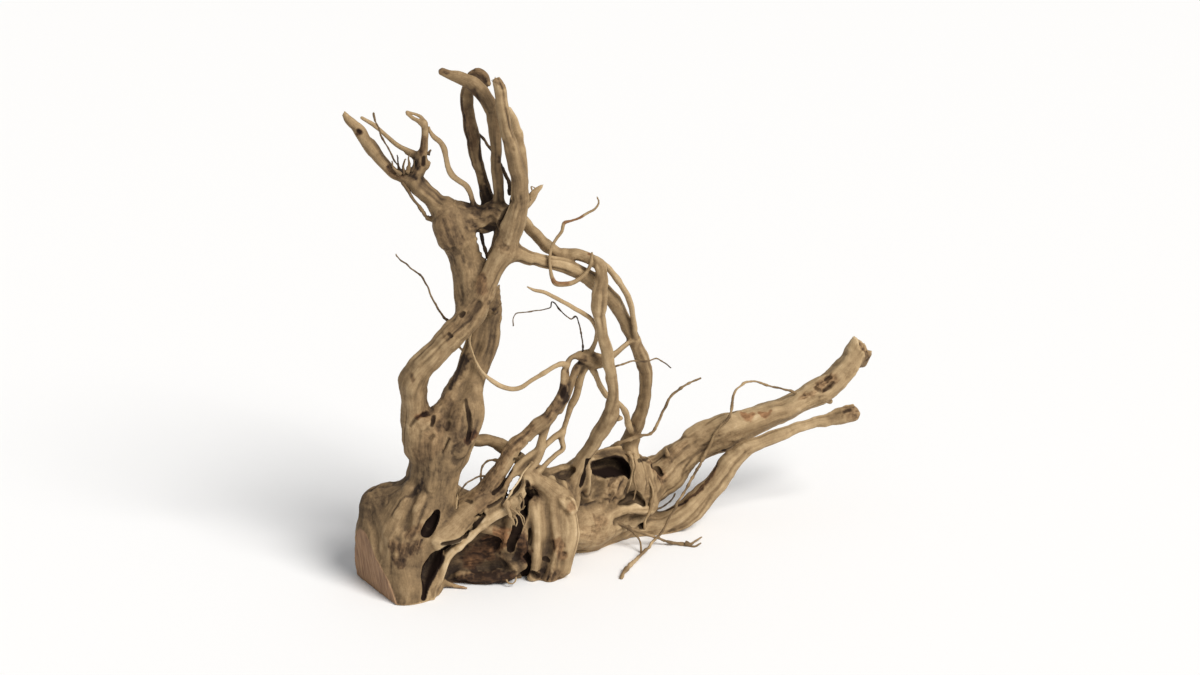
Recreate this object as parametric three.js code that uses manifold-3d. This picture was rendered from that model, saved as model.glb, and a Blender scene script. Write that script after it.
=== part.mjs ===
// A piece of spider wood: a washed azalea root stock with a sawn foot, two crossing trunk limbs, a pronged
// crown, a great arch, a braid of roots and two long branches that reach back to the right.
//
// Millimetres, +Z up, +X to the right, +Y to the back. The origin is on the floor, under the middle.
//
// The wood is set out as limbs. A limb is a list of stations [across, up, back, radius]. "across" and "up"
// are measured on a sight plane that faces the eye, "back" is how far the station lies behind the middle,
// and place() carries the station along its line of sight to that depth.

import * as THREE from "three";
import Module from "manifold-3d";
import { mergeVertices } from "three/addons/utils/BufferGeometryUtils.js";

// The eye that the stations are seen from
const SIGHT_TILT = THREE.MathUtils.degToRad(20);
const EYE_DISTANCE = 2000;
const AIM_ACROSS = 300;
const AIM_UP = 262.5;
const AIM_HEIGHT = 251.4;
const MIDDLE = { x: 22.4, y: 43.8 };

// How the limbs are faceted
const GAP = 0.3;
const THIN_RADIUS = 5.2;
const SIDES_BY_RADIUS = [[3.2, 4], [8.5, 6], [15, 7], [26, 9], [Infinity, 11]];
const RING_SPACING = 13;
const RING_SPACING_PER_RADIUS = 1.3;
const BLUNT_LENGTH = 0.45;
const BLUNT_RADIUS = 0.7;
const CAP_PUSH = 0.3;
const OVAL = 0.05;
const TRILOBE = 0.04;
const WOOD = { color: 0xa48a66, roughness: 0.78, metalness: 0 };
const BARK = { color: 0x5f4636, roughness: 0.85, metalness: 0 };

// Trunk
const foot_core = [
  [104, 6, -50, 41], [104, 34, -46, 40], [108, 62, -44, 38], [118, 86, -42, 33], [127, 106, -40, 27],
  [132, 126, -38, 24], [134, 146, -37, 23], [135, 162, -36, 25],
];
const foot_shoulder = [[85, 91, -34, 23], [87, 66, -36, 28], [87, 42, -32, 30], [88, 16, -30, 30]];
const left_limb = [
  [124, 158, -36, 19], [116, 180, -38, 16.5], [113, 200, -40, 14], [113, 216, -41, 15.2],
  [121, 232, -42, 14], [134, 246, -42, 12.8], [147, 259, -41, 12.4], [160, 272, -39, 12.8],
  [172, 286, -36, 13], [182, 302, -33, 12.5], [190, 320, -30, 11.2], [197, 336, -27, 11],
  [205, 350, -24, 12],
];
const right_limb = [
  [150, 152, -34, 22], [155, 168, -30, 23], [157, 184, -25, 23.5], [161, 200, -19, 18.5],
  [168, 220, -12, 15.6], [175, 240, -6, 15.6], [181, 258, -3, 15.6], [185, 275, -2, 14.2],
  [188, 290, -2, 12.5], [192, 303, -2, 8.5], [196, 313, -2, 3.5],
];
const upper_trunk = [
  [174, 290, -27, 14], [170, 302, -24, 15], [167, 316, -22, 14.5], [166, 330, -20, 14.4],
  [163, 345, -18, 14.8], [158, 360, -16, 17.4], [152, 374, -14, 19], [150, 384, -12, 14.5],
];
const crown_plate = [
  [150, 383, -12, 14], [168, 381, -11, 14], [184, 381, -10, 13.5], [197, 387, -13, 12],
  [206, 382, -17, 11],
];
const crown_web = [[162, 372, -14, 12], [168, 356, -14, 9], [175, 341, -14, 8.5], [181, 328, -14, 8]];

// Crown
const front_prong = [
  [206, 354, -23, 12], [211, 367, -25, 11], [216, 382, -28, 10.2], [219, 398, -30, 9.8],
  [220, 412, -32, 8.8], [218, 427, -34, 8.6], [214, 442, -36, 8.2], [210, 457, -37, 7.8],
  [206, 472, -37, 7.2], [203, 487, -36, 6.6], [201, 501, -34, 6.2], [199, 513, -32, 6.4],
  [196, 520, -30, 5],
];
const back_prong = [
  [223, 418, -24, 5], [222, 435, -22, 5.2], [219, 452, -20, 5], [217, 467, -20, 4.6],
  [214, 479, -20, 4], [209, 490, -22, 2.4],
];
const brown_prong = [
  [189, 390, 0, 7.5], [186, 405, 3, 6.6], [181, 422, 6, 6], [177, 439, 7, 6], [174, 455, 8, 6.3],
  [171, 470, 8, 7], [168, 485, 8, 6.9], [166, 499, 7, 6.8], [167, 510, 6, 6.4], [171, 518, 4, 6],
  [178, 522, 2, 6.4],
];
const hooked_prong = [
  [199, 392, -10, 7], [198, 410, -11, 5.2], [197, 428, -12, 5.2], [196, 445, -12, 5.5],
  [195, 462, -12, 5.6], [194, 478, -12, 6.2], [191, 492, -12, 7.5], [185, 503, -11, 8],
  [177, 512, -10, 8], [168, 519, -9, 6.8], [158, 523, -10, 6], [149, 525, -11, 5], [140, 529, -12, 4.2],
];
const crown_stub = [
  [219, 392, -22, 6], [228, 399, -16, 5], [234, 405, -13, 4.4], [238, 410, -11, 3], [242, 414, -10, 2],
];
const left_fork = [
  [148, 385, -12, 12], [137, 396, -11, 10.6], [128, 405, -10, 9.6], [119, 414, -9, 9.5],
  [111, 421, -8, 9], [104, 423, -8, 7],
];
const broken_tine = [
  [104, 423, -8, 5], [94, 427, -10, 6.2], [85, 436, -12, 6.2], [76, 447, -14, 6.6], [68, 458, -16, 6.2],
  [61, 468, -18, 6.5], [54, 475, -20, 5], [48, 481, -21, 3.8], [44, 486, -22, 2.8],
];
const upright_tine = [
  [114, 422, -8, 7.5], [120, 433, -8, 5.7], [122, 443, -8, 5.2], [124, 452, -9, 4],
  [125, 461, -10, 3.4], [125, 470, -11, 3.4], [124, 477, -12, 3],
];
const tine_loop_low = [
  [124, 476, -12, 2.6], [118, 479, -13, 2], [112, 482, -14, 1.8], [107, 486, -15, 1.6],
];
const tine_loop_high = [
  [125, 477, -11, 2.2], [121, 483, -11, 1.6], [115, 486, -12, 1.3], [107, 488, -14, 1.3],
];
const side_tine = [
  [122, 440, -7, 4.4], [116, 445, -5, 3.5], [108, 449, -4, 3], [99, 454, -3, 2.8], [90, 461, -2, 2.5],
  [81, 469, -1, 2.3], [71, 477, 0, 2.1], [62, 482, 0, 1.9],
];
const tine_web = [[119, 432, -6, 3.4], [114, 442, -5, 2.2], [106, 447, -4, 1.5]];
const dark_twig = [
  [101, 428, -14, 1.8], [96, 437, -16, 1.3], [90, 448, -17, 1.2], [84, 459, -18, 1.1],
  [80, 469, -18, 1.2], [76, 478, -19, 1.2], [74, 487, -19, 1.1],
];
const side_strand = [
  [103, 418, -12, 2.2], [109, 409, -14, 1.8], [114, 400, -15, 1.6], [121, 390, -15, 1.7],
  [128, 382, -14, 2], [136, 381, -12, 2.6],
];
const crown_twig = [
  [176, 390, -12, 4.2], [172, 400, -12, 3.5], [169, 409, -12, 3.1], [165, 415, -12, 3],
  [158, 420, -11, 2.8], [152, 425, -10, 2.7], [148, 433, -9, 2.6], [146, 443, -8, 2.5],
  [144, 452, -7, 2.6], [140, 458, -6, 2.6], [134, 463, -5, 2.5], [130, 469, -5, 1.8], [129, 473, -5, 1],
];
const cross_twig = [
  [179, 466, 12, 1.6], [185, 459, 12, 1.8], [191, 451, 11, 1.8], [198, 440, 8, 2], [204, 429, 3, 2.2],
  [209, 418, -4, 2.5], [211, 406, -10, 3],
];

// Arch and ribs
const arch_top = [
  [206, 350, -23, 11], [217, 346, -19, 8.8], [229, 342, -15, 7.1], [241, 339, -11, 6.9],
  [253, 337, -6, 7.2], [265, 334, -1, 7.2], [277, 329, 5, 7], [289, 322, 11, 7], [300, 313, 17, 7.2],
  [310, 302, 23, 7.2], [319, 289, 29, 7.2], [326, 276, 35, 7.2], [333, 261, 41, 7.5],
];
const arch_leg = [
  [333, 261, 41, 7.5], [340, 246, 47, 7.5], [345, 230, 53, 7.1], [346, 214, 58, 6.9],
  [344, 198, 63, 7.3], [340, 182, 69, 7.7], [333, 167, 75, 8], [328, 153, 80, 8.6], [328, 138, 85, 10],
  [332, 122, 88, 12],
];
const front_rib = [
  [299, 336, -2, 5.5], [302, 327, -7, 6], [301, 313, -11, 6], [299, 299, -13, 6], [299, 285, -14, 5.4],
  [301, 270, -13, 5.1], [305, 255, -11, 5.6], [308, 240, -9, 5.7], [311, 225, -6, 6],
  [313, 210, -3, 6.4], [313, 196, 0, 7], [309, 182, 3, 8.4], [301, 168, 6, 8], [292, 154, 9, 7.8],
  [283, 140, 11, 8], [276, 127, 12, 8.6], [271, 113, 12, 10], [268, 98, 10, 12],
];
const rib_knob = [[310, 183, 2, 6], [320, 182, 0, 2.6]];
const upper_root = [
  [213, 388, -12, 6], [222, 382, -4, 5.5], [230, 372, 2, 5.5], [239, 363, 6, 5.8], [248, 354, 8, 6],
  [256, 348, 9, 6.2], [267, 346, 9, 5.5], [278, 345, 8, 5.1], [288, 342, 6, 5.1], [297, 337, 3, 5.2],
];
const outer_rib = [
  [296, 341, 1, 3.6], [306, 334, 3, 3.1], [314, 325, 6, 3], [321, 315, 10, 3], [327, 305, 15, 3],
  [331, 294, 20, 3.1], [333, 283, 25, 3.2], [334, 271, 31, 3], [334, 261, 37, 2.5],
];
const root_knot = [
  [281, 244, -2, 4.6], [288, 242, 1, 7], [297, 239, 6, 6], [305, 241, 13, 4.6], [314, 246, 21, 3.4],
  [323, 253, 29, 3.3], [333, 261, 38, 3.5],
];
const slanting_root = [
  [291, 237, 3, 3.6], [296, 224, 8, 2.8], [301, 213, 14, 2.7], [307, 204, 21, 2.7], [314, 200, 29, 2.6],
  [321, 194, 38, 2.5], [326, 186, 48, 2.7], [328, 176, 58, 3], [333, 167, 70, 3],
];

// Braid of roots between the knot and the trunk foot
const braid_left = [
  [286, 244, -1, 3.6], [277, 245, -3, 3], [270, 241, -5, 3.2], [266, 233, -7, 4], [264, 222, -9, 4.3],
  [263, 211, -10, 5], [260, 201, -11, 6], [254, 191, -13, 6.3], [246, 181, -15, 6.6],
  [236, 173, -17, 6.6], [226, 164, -20, 7], [216, 154, -23, 7.4], [208, 143, -26, 7.4],
  [201, 131, -30, 7.6], [193, 119, -34, 8.6], [184, 106, -38, 10.6], [173, 94, -42, 12.5],
  [160, 84, -46, 14],
];
const braid_middle = [
  [283, 239, 1, 3.6], [277, 231, -1, 3.5], [272, 221, -4, 3.3], [269, 211, -7, 3.6],
  [265, 201, -9, 4.2], [259, 190, -13, 4],
];
const braid_right = [
  [287, 238, 3, 3.6], [282, 226, 3, 2.8], [279, 215, 2, 3.7], [276, 204, 0, 4.1], [271, 194, -2, 3.6],
  [268, 184, -4, 3.1], [265, 173, -6, 2.9], [262, 162, -8, 3.3], [263, 152, -9, 3.3],
  [256, 145, -12, 3], [248, 138, -15, 3], [240, 130, -18, 3.3], [232, 122, -21, 4],
];
const braid_link = [
  [262, 168, -8, 3.4], [254, 162, -10, 3.2], [247, 156, -13, 3], [238, 150, -17, 3.2],
  [230, 144, -20, 3.5], [221, 136, -24, 3.8], [214, 127, -28, 4], [207, 117, -32, 4.2],
  [201, 108, -36, 5], [193, 99, -40, 6.6], [183, 90, -43, 8.5],
];
const braid_low = [
  [251, 186, -13, 4.6], [246, 175, -14, 4.6], [243, 164, -15, 4.3], [241, 153, -17, 4.7],
  [237, 142, -19, 5.2], [231, 134, -22, 4.8], [223, 129, -26, 4.2], [214, 123, -30, 3.8],
  [207, 114, -34, 3.8],
];
const sagging_twig = [
  [170, 257, -18, 1.6], [173, 247, -22, 1.6], [177, 237, -24, 1.7], [183, 227, -26, 2],
  [191, 220, -26, 2.6], [201, 214, -25, 3], [212, 211, -24, 3], [222, 213, -22, 2.9],
  [231, 219, -20, 2.7], [241, 225, -18, 2.6], [251, 231, -16, 2.8], [260, 236, -13, 3],
  [267, 235, -9, 3.2],
];
const bridge_root = [
  [166, 160, -14, 8.5], [180, 160, -4, 7.4], [192, 160, 3, 6.4], [203, 154, 9, 7], [214, 145, 14, 7.6],
  [227, 135, 18, 8], [241, 125, 20, 9], [256, 115, 18, 10],
];
const flap = [
  [138, 62, -64, 13], [150, 70, -60, 12], [160, 79, -56, 10], [169, 88, -51, 8.5], [179, 96, -46, 7],
  [190, 103, -42, 6],
];
const torn_rim = [
  [134, 8, -62, 5.5], [139, 24, -61, 5], [145, 38, -60, 4.8], [154, 49, -58, 4.6], [164, 58, -55, 4.6],
  [173, 67, -52, 4.6], [182, 76, -49, 5], [193, 84, -46, 5.4], [204, 90, -42, 5.4], [214, 98, -38, 5],
  [222, 108, -33, 4.6], [228, 118, -27, 4.6],
];

// Base
const wall_low = [
  [148, 36, -20, 24], [170, 40, -18, 26], [194, 42, -16, 27], [216, 44, -14, 27], [234, 46, -12, 26],
];
const wall_high = [
  [150, 76, -22, 23], [172, 78, -18, 24], [196, 84, -12, 26], [220, 88, -6, 25], [236, 94, 0, 22],
];
const wall_top = [[188, 100, -14, 11], [200, 106, -8, 13], [216, 112, 0, 15], [236, 118, 8, 14]];
const middle_leg = [
  [254, 110, -4, 14], [252, 97, -8, 19], [252, 82, -12, 22], [252, 66, -15, 23.5], [250, 50, -18, 22.6],
  [247, 35, -20, 20.8], [244, 20, -22, 19.4],
];
const leg_strut = [
  [228, 127, -22, 6], [237, 120, -20, 7.2], [247, 112, -16, 8], [257, 104, -12, 9], [264, 97, -8, 10],
];
const base_root = [
  [270, 76, 28, 26], [288, 80, 46, 28], [308, 88, 63, 28.5], [328, 99, 79, 26.5], [347, 114, 95, 23.5],
];
const under_root = [[284, 64, 46, 20], [304, 70, 62, 18], [324, 76, 76, 17], [344, 80, 84, 16]];
const hollow_stump = [
  [250, 118, 8, 12], [268, 122, 18, 14], [286, 127, 32, 16], [300, 130, 44, 18], [312, 132, 56, 19],
  [322, 120, 62, 19],
];
const long_branch = [
  [348, 117, 98, 22], [366, 129, 106, 19.5], [385, 147, 113, 15.6], [405, 160, 119, 16.6],
  [425, 169, 125, 17], [445, 177, 131, 15.8], [465, 184, 137, 14.6], [485, 191, 143, 13.2],
  [505, 201, 149, 12.6], [522, 211, 154, 13.4], [537, 222, 159, 13], [548, 235, 164, 11.2],
  [555, 247, 168, 10.2], [560, 254, 170, 10.8],
];
const branch_knot = [[390, 163, 113, 7], [404, 169, 117, 7]];
const low_branch = [
  [350, 75, 82, 14], [367, 78, 83, 13], [382, 86, 85, 12.8], [396, 98, 88, 12], [409.5, 111, 91, 11.4],
  [421, 125, 94, 10.8], [430, 138, 97, 10], [441, 148, 100, 8.8], [454, 155, 104, 7.4],
  [474, 163, 111, 6.6], [494, 171, 118, 6.1], [512, 177, 125, 5.2], [528, 180, 131, 6.3],
  [543, 185, 136, 8.6], [555, 188, 140, 8],
];

// Twigs and fine roots
const loop_twig = [
  [297, 403, 6, 0.9], [299, 397, 5, 1.3], [295, 391, 4, 1.5], [288, 387, 2, 1.8], [279, 382, 0, 1.8],
  [270, 379, -2, 2], [264, 377, -4, 2.2], [262, 369, -6, 2], [257, 362, -8, 1.9], [252, 354, -11, 2],
  [250, 344, -16, 2.3], [250, 333, -17, 2.3], [252, 323, -16, 2.5], [255, 317, -14, 2.7],
  [264, 316, -10, 2.5], [274, 318, -6, 2.4], [282, 323, -4, 2.4], [288, 330, -3, 2.4],
  [291, 338, -4, 2.2], [292, 347, -5, 1.2],
];
const pointed_twig = [
  [227, 313, -30, 0.9], [234, 310, -29, 2.1], [244, 308, -27, 2.4], [254, 303, -24, 2.6],
  [264, 298, -21, 2.7], [274, 292, -17, 2.9], [284, 286, -12, 2.8], [291, 281, -7, 2.8],
  [296, 273, -3, 2.8], [297, 264, -1, 2.7], [294, 255, 0, 2.8], [289, 246, 1, 3.4],
];
const hair_root = [
  [282, 244, -2, 1.1], [283, 255, -4, 0.9], [281, 266, -7, 0.9], [279, 276, -9, 0.8],
  [276, 284, -11, 0.8], [271, 281, -13, 0.8], [266, 284, -14, 0.8], [258, 292, -16, 0.8],
  [252, 298, -18, 0.8], [251, 293, -19, 0.8], [246, 291, -20, 0.8], [238, 290, -22, 0.7],
  [229, 288, -24, 0.7], [221, 287, -25, 0.7], [216, 286, -26, 0.7], [213, 281, -27, 0.7],
  [213, 274, -28, 0.6],
];
const reaching_twig = [
  [297, 236, 6, 2], [309, 233, 13, 1.3], [320, 235, 21, 1.2], [333, 239, 28, 1.1], [345, 239, 34, 1.1],
  [357, 241, 38, 1], [365, 237, 41, 0.9], [371, 232, 43, 0.8],
];
const draping_root = [
  [496, 207, 140, 2], [480, 212, 136, 1.6], [466, 215, 131, 1.6], [452, 219, 126, 1.6],
  [443, 216, 121, 1.6], [436, 210, 116, 1.6], [433, 201, 112, 1.8], [431, 190, 109, 1.9],
  [428, 181, 106, 1.9], [420, 173, 104, 1.9], [414, 165, 102, 1.9], [409, 154, 99, 1.9],
  [404, 143, 95, 2], [398, 132, 89, 2], [392, 121, 82, 2], [386, 110, 74, 1.9], [379, 100, 66, 1.8],
  [372, 86, 59, 1.8], [366, 76, 51, 1.8], [360, 66, 41, 1.9], [352, 57, 28, 2], [345, 49, 16, 2.2],
  [337, 41, 3, 2.6], [329, 34, -12, 2.9], [324, 28, -24, 2.7], [321, 22, -35, 2.3],
];
const floor_root = [
  [306, 84, 44, 3], [318, 77, 38, 2.3], [328, 72, 38, 2.1], [337, 69, 39, 1.9], [346, 66, 41, 1.9],
  [356, 62, 43, 1.8], [366, 59, 44, 1.7], [376, 57, 44, 1.7], [386, 56, 44, 2], [393, 57, 47, 1.4],
  [402, 63, 55, 0.9],
];
const floor_root_fork = [[386, 56, 44, 1.6], [394, 53, 40, 1.1], [401, 57, 42, 0.8]];
const floor_twig = [
  [328, 72, 38, 1.7], [336, 65, 35, 1.5], [340, 59, 32, 1.4], [341, 52, 28, 1.3], [341, 47, 25, 1.2],
];
const hanging_root = [
  [331, 141, 80, 2.2], [341, 133, 71, 1.7], [347, 124, 68, 1.6], [352, 112, 64, 1.6],
  [352, 99, 60, 1.6], [349, 88, 56, 1.5], [345, 78, 51, 1.5], [344, 71, 48, 1.2],
];
const back_twig = [[356, 90, 90, 1.6], [365, 95, 96, 1.2], [372, 101, 100, 1.1], [375, 107, 104, 0.8]];
const rising_twig = [
  [295, 142, 58, 3.4], [308, 151, 60, 2.5], [319, 157, 60, 2.2], [330, 161, 61, 2], [341, 164, 62, 1.9],
  [350, 166, 64, 1.9], [356, 173, 66, 1.8], [361, 184, 69, 1.8], [366, 195, 72, 1.7],
  [371, 204, 75, 1.6], [378, 210, 78, 1.6], [389, 217, 81, 1.5], [401, 222, 84, 1.2],
];
const side_twig = [
  [96, 346, -52, 0.9], [101, 340, -51, 1.2], [110, 333, -49, 1.3], [118, 327, -47, 1.4],
  [124, 320, -45, 1.4], [128, 311, -42, 1.4], [132, 301, -38, 1.5], [138, 291, -33, 1.6],
  [144, 283, -27, 1.9], [150, 277, -20, 2], [155, 265, -15, 1.7], [159, 255, -12, 1.7],
  [164, 247, -9, 2.2],
];
const loop_root = [
  [206, 139, -24, 2.2], [196, 140, -20, 1.5], [188, 139, -19, 1.4], [183, 134, -20, 1.4],
  [181, 126, -22, 1.4], [181, 116, -28, 1.6], [184, 108, -34, 2],
];
const low_hair = [
  [160, 91, -44, 2], [158, 100, -38, 1.4], [162, 111, -35, 1.2], [167, 117, -33, 1.1], [176, 122, -31, 1.1],
  [183, 124, -30, 1.2], [190, 119, -32, 1.8],
];
const foot_splinter = [
  [138, 19, -58, 3.8], [148, 16, -55, 2.8], [157, 14, -56, 2.2], [167, 12, -58, 1],
];
const hook_splinter = [
  [187, 287, -12, 2.4], [193, 286, -18, 1.6], [198, 291, -21, 1.1], [201, 297, -22, 0.8],
];

// Hollows. Each is cut out of the nodes that it names.
const HOLLOWS = [
  { from: ["trunk_foot"], cut: [[136, 86, -82, 4], [131, 78, -80, 6.5], [126, 66, -86, 5.5]] },
  { from: ["trunk_foot"], cut: [[140, 50, -78, 9], [132, 38, -88, 9], [127, 24, -92, 5], [124, 8, -95, 2]] },
  { from: ["base_root"], cut: [[300, 132, 12, 10], [306, 134, 36, 12], [317, 137, 48, 9]] },
];

// Each node is one length of wood between forks. A node that comes later is cut back to meet those before
// it.
const NODES = [
  { name: "trunk_foot", limbs: [foot_core, foot_shoulder] },
  { name: "upper_trunk", limbs: [upper_trunk, crown_plate, crown_web] },
  { name: "left_limb", limbs: [left_limb] },
  { name: "right_limb", limbs: [right_limb, hook_splinter] },
  { name: "bark_wall", limbs: [wall_low, wall_high, wall_top], finish: BARK },
  { name: "middle_leg", limbs: [middle_leg, leg_strut] },
  { name: "base_root", limbs: [base_root, under_root, hollow_stump] },
  { name: "long_branch", limbs: [long_branch, branch_knot] },
  { name: "low_branch", limbs: [low_branch] },
  { name: "arch_leg", limbs: [arch_leg] },
  { name: "arch_top", limbs: [arch_top] },
  { name: "front_rib", limbs: [front_rib, rib_knob] },
  { name: "front_prong", limbs: [front_prong, back_prong, crown_stub] },
  { name: "hooked_prong", limbs: [hooked_prong] },
  { name: "brown_prong", limbs: [brown_prong], finish: BARK },
  { name: "upper_root", limbs: [upper_root] },
  { name: "left_fork", limbs: [left_fork] },
  { name: "broken_tine", limbs: [broken_tine] },
  { name: "upright_tine", limbs: [upright_tine, tine_loop_low, tine_loop_high] },
  { name: "side_tine", limbs: [side_tine, tine_web] },
  { name: "root_knot", limbs: [root_knot] },
  { name: "outer_rib", limbs: [outer_rib] },
  { name: "braid_left", limbs: [braid_left] },
  { name: "braid_low", limbs: [braid_low] },
  { name: "braid_middle", limbs: [braid_middle] },
  { name: "braid_right", limbs: [braid_right] },
  { name: "braid_link", limbs: [braid_link] },
  { name: "torn_strap", limbs: [flap, torn_rim] },
  { name: "bridge_root", limbs: [bridge_root] },
  { name: "slanting_root", limbs: [slanting_root] },
  { name: "crown_twig", limbs: [crown_twig] },
  { name: "cross_twig", limbs: [cross_twig] },
  { name: "dark_twig", limbs: [dark_twig], finish: BARK },
  { name: "side_strand", limbs: [side_strand] },
  { name: "loop_twig", limbs: [loop_twig] },
  { name: "pointed_twig", limbs: [pointed_twig] },
  { name: "sagging_twig", limbs: [sagging_twig] },
  { name: "hair_root", limbs: [hair_root] },
  { name: "reaching_twig", limbs: [reaching_twig] },
  { name: "draping_root", limbs: [draping_root] },
  { name: "floor_root", limbs: [floor_root, floor_root_fork, floor_twig] },
  { name: "hanging_root", limbs: [hanging_root] },
  { name: "back_twig", limbs: [back_twig] },
  { name: "rising_twig", limbs: [rising_twig] },
  { name: "side_twig", limbs: [side_twig] },
  { name: "loop_root", limbs: [loop_root, low_hair] },
  { name: "foot_splinter", limbs: [foot_splinter] },
];

// The floor, and the sawn face on the left of the foot, which runs back from the front corner and leans out
const FLOOR_BLOCK = 1200;
const SAW_CORNER = [95, -5, -91];
const SAW_TURN = THREE.MathUtils.degToRad(-55);
const SAW_LEAN = THREE.MathUtils.degToRad(7);
const SAW_BLOCK = 300;

const wasm = await Module();
wasm.setup();

// A station's place in the part's frame, and how much larger it is there than on the sight plane
function place([across, up, back]) {
  const aim = new THREE.Vector3(0, 0, AIM_HEIGHT);
  const forward = new THREE.Vector3(0, Math.cos(SIGHT_TILT), -Math.sin(SIGHT_TILT));
  const rise = new THREE.Vector3(0, Math.sin(SIGHT_TILT), Math.cos(SIGHT_TILT));
  const eye = aim.clone().addScaledVector(forward, -EYE_DISTANCE);
  const seen = aim.clone().addScaledVector(rise, up - AIM_UP);
  seen.x += across - AIM_ACROSS;
  const scale = (back - eye.y) / (seen.y - eye.y);
  const point = eye.clone().lerp(seen, scale);
  point.x -= MIDDLE.x;
  point.y -= MIDDLE.y;
  return { point, scale };
}

// The rings that a limb's tube is bent through: evenly spread along it, closer together where it is thin
function limbRings(stations) {
  const placed = stations.map(place);
  const radii = stations.map((station, i) => station[3] * placed[i].scale);
  const curve = new THREE.CatmullRomCurve3(placed.map((p) => p.point), false, "centripetal");
  const mean = radii.reduce((sum, radius) => sum + radius) / radii.length;
  const steps = Math.max(2, Math.round(curve.getLength() / (RING_SPACING + RING_SPACING_PER_RADIUS * mean)));
  const rings = [];
  for (let i = 0; i <= steps; i++) {
    const at = curve.getUtoTmapping(i / steps) * (stations.length - 1);
    const before = Math.min(Math.floor(at), stations.length - 2);
    const radius = THREE.MathUtils.lerp(radii[before], radii[before + 1], at - before);
    rings.push({ centre: curve.getPointAt(i / steps), along: curve.getTangentAt(i / steps), radius });
  }
  if (mean > THIN_RADIUS) {
    rings.unshift(blunted(rings[0], -1));
    rings.push(blunted(rings[rings.length - 1], 1));
  }
  return rings;
}

// A smaller ring a little past an end ring, which rounds the end
function blunted(ring, way) {
  const centre = ring.centre.clone().addScaledVector(ring.along, way * BLUNT_LENGTH * ring.radius);
  return { centre, along: ring.along, radius: ring.radius * BLUNT_RADIUS };
}

// A cylinder bent through a limb's rings, lobed where it is thick, with its end caps pushed out. grow
// fattens it.
function limbSolid(stations, grow = 0) {
  const rings = limbRings(stations);
  const thickest = Math.max(...rings.map((ring) => ring.radius));
  const sides = SIDES_BY_RADIUS.find(([limit]) => thickest <= limit)[1];
  const steps = rings.length - 1;
  const frames = [];
  const side = new THREE.Vector3(0, -1, 0);
  for (const { along } of rings) {
    side.addScaledVector(along, -side.dot(along)).normalize();
    frames.push({ side: side.clone(), other: along.clone().cross(side) });
  }
  const tube = new THREE.CylinderGeometry(1, 1, 1, sides, steps);
  const spots = tube.attributes.position;
  for (let v = 0; v < spots.count; v++) {
    const i = Math.round((0.5 - spots.getY(v)) * steps);
    const { centre, along, radius } = rings[i];
    const out = Math.hypot(spots.getX(v), spots.getZ(v));
    const turn = Math.atan2(spots.getZ(v), spots.getX(v));
    const lobes = 1 + OVAL * Math.cos(2 * turn + 0.4 * i) + TRILOBE * Math.cos(3 * turn + 0.7 * i);
    const reach = out * (radius * (thickest > THIN_RADIUS ? lobes : 1) + grow);
    const way = i === 0 ? -1 : i === steps ? 1 : 0;
    const push = way * (grow + (out > 0.5 ? 0 : CAP_PUSH * radius));
    const spot = centre.clone().addScaledVector(along, push);
    spot.addScaledVector(frames[i].side, Math.cos(turn) * reach);
    spot.addScaledVector(frames[i].other, Math.sin(turn) * reach);
    spots.setXYZ(v, spot.x, spot.y, spot.z);
  }
  return solidOf(tube);
}

// A three.js geometry whose shared vertices are merged, as a solid
function solidOf(geometry) {
  geometry.deleteAttribute("normal");
  geometry.deleteAttribute("uv");
  const merged = mergeVertices(geometry, 1e-4);
  const vertProperties = new Float32Array(merged.attributes.position.array);
  const triVerts = new Uint32Array(merged.index.array);
  return new wasm.Manifold(new wasm.Mesh({ numProp: 3, vertProperties, triVerts }));
}

function joined(limbs, grow) {
  return limbs.map((limb) => limbSolid(limb, grow)).reduce((sum, limb) => sum.add(limb));
}

function largest(solid) {
  return solid.decompose().sort((a, b) => b.volume() - a.volume())[0];
}

function floorBlock() {
  const block = new THREE.BoxGeometry(FLOOR_BLOCK, FLOOR_BLOCK, FLOOR_BLOCK);
  block.translate(0, 0, -FLOOR_BLOCK / 2);
  return solidOf(block);
}

function sawBlock() {
  const corner = place(SAW_CORNER).point;
  const block = new THREE.BoxGeometry(SAW_BLOCK, SAW_BLOCK, SAW_BLOCK);
  block.translate(0, -SAW_BLOCK / 2, 0);
  block.rotateX(SAW_LEAN);
  block.rotateZ(SAW_TURN);
  block.translate(corner.x, corner.y, 0);
  return solidOf(block);
}

function geometryOf(solid) {
  const mesh = solid.getMesh();
  const geometry = new THREE.BufferGeometry();
  geometry.setAttribute("position", new THREE.BufferAttribute(new Float32Array(mesh.vertProperties), 3));
  geometry.setIndex(new THREE.BufferAttribute(new Uint32Array(mesh.triVerts), 1));
  geometry.computeVertexNormals();
  return geometry;
}

function build() {
  const wood = new THREE.Group();
  const cutters = floorBlock().add(sawBlock());
  const grown = [];
  for (const { name, limbs, finish = WOOD } of NODES) {
    const hollows = HOLLOWS.filter((hollow) => hollow.from.includes(name));
    let solid = joined(limbs, 0).subtract(cutters);
    for (const taken of [...hollows.map((hollow) => limbSolid(hollow.cut)), ...grown]) {
      solid = solid.subtract(taken);
    }
    grown.push(joined(limbs, GAP));
    const mesh = new THREE.Mesh(geometryOf(largest(solid)), new THREE.MeshStandardMaterial(finish));
    mesh.name = name;
    wood.add(mesh);
  }
  return wood;
}

export default build();
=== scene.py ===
"""A piece of spider wood, dressed around its solids: washed and weathered root wood with fluted
limbs, sunken grain, cracks, worm holes, torn ends, hollows darkened with painted shade, and fine roots.

The limbs are the stations of the solids, [across, up, back, radius] in millimetres, seen from the
same eye. They are filled into one distance field, in which neighbouring limbs grow together. Hollows
are eaten out of it, and the skin of that field is meshed. Grain follows each limb, because every
point of the skin knows its place along and around the limb that it lies on."""

import math

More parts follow.
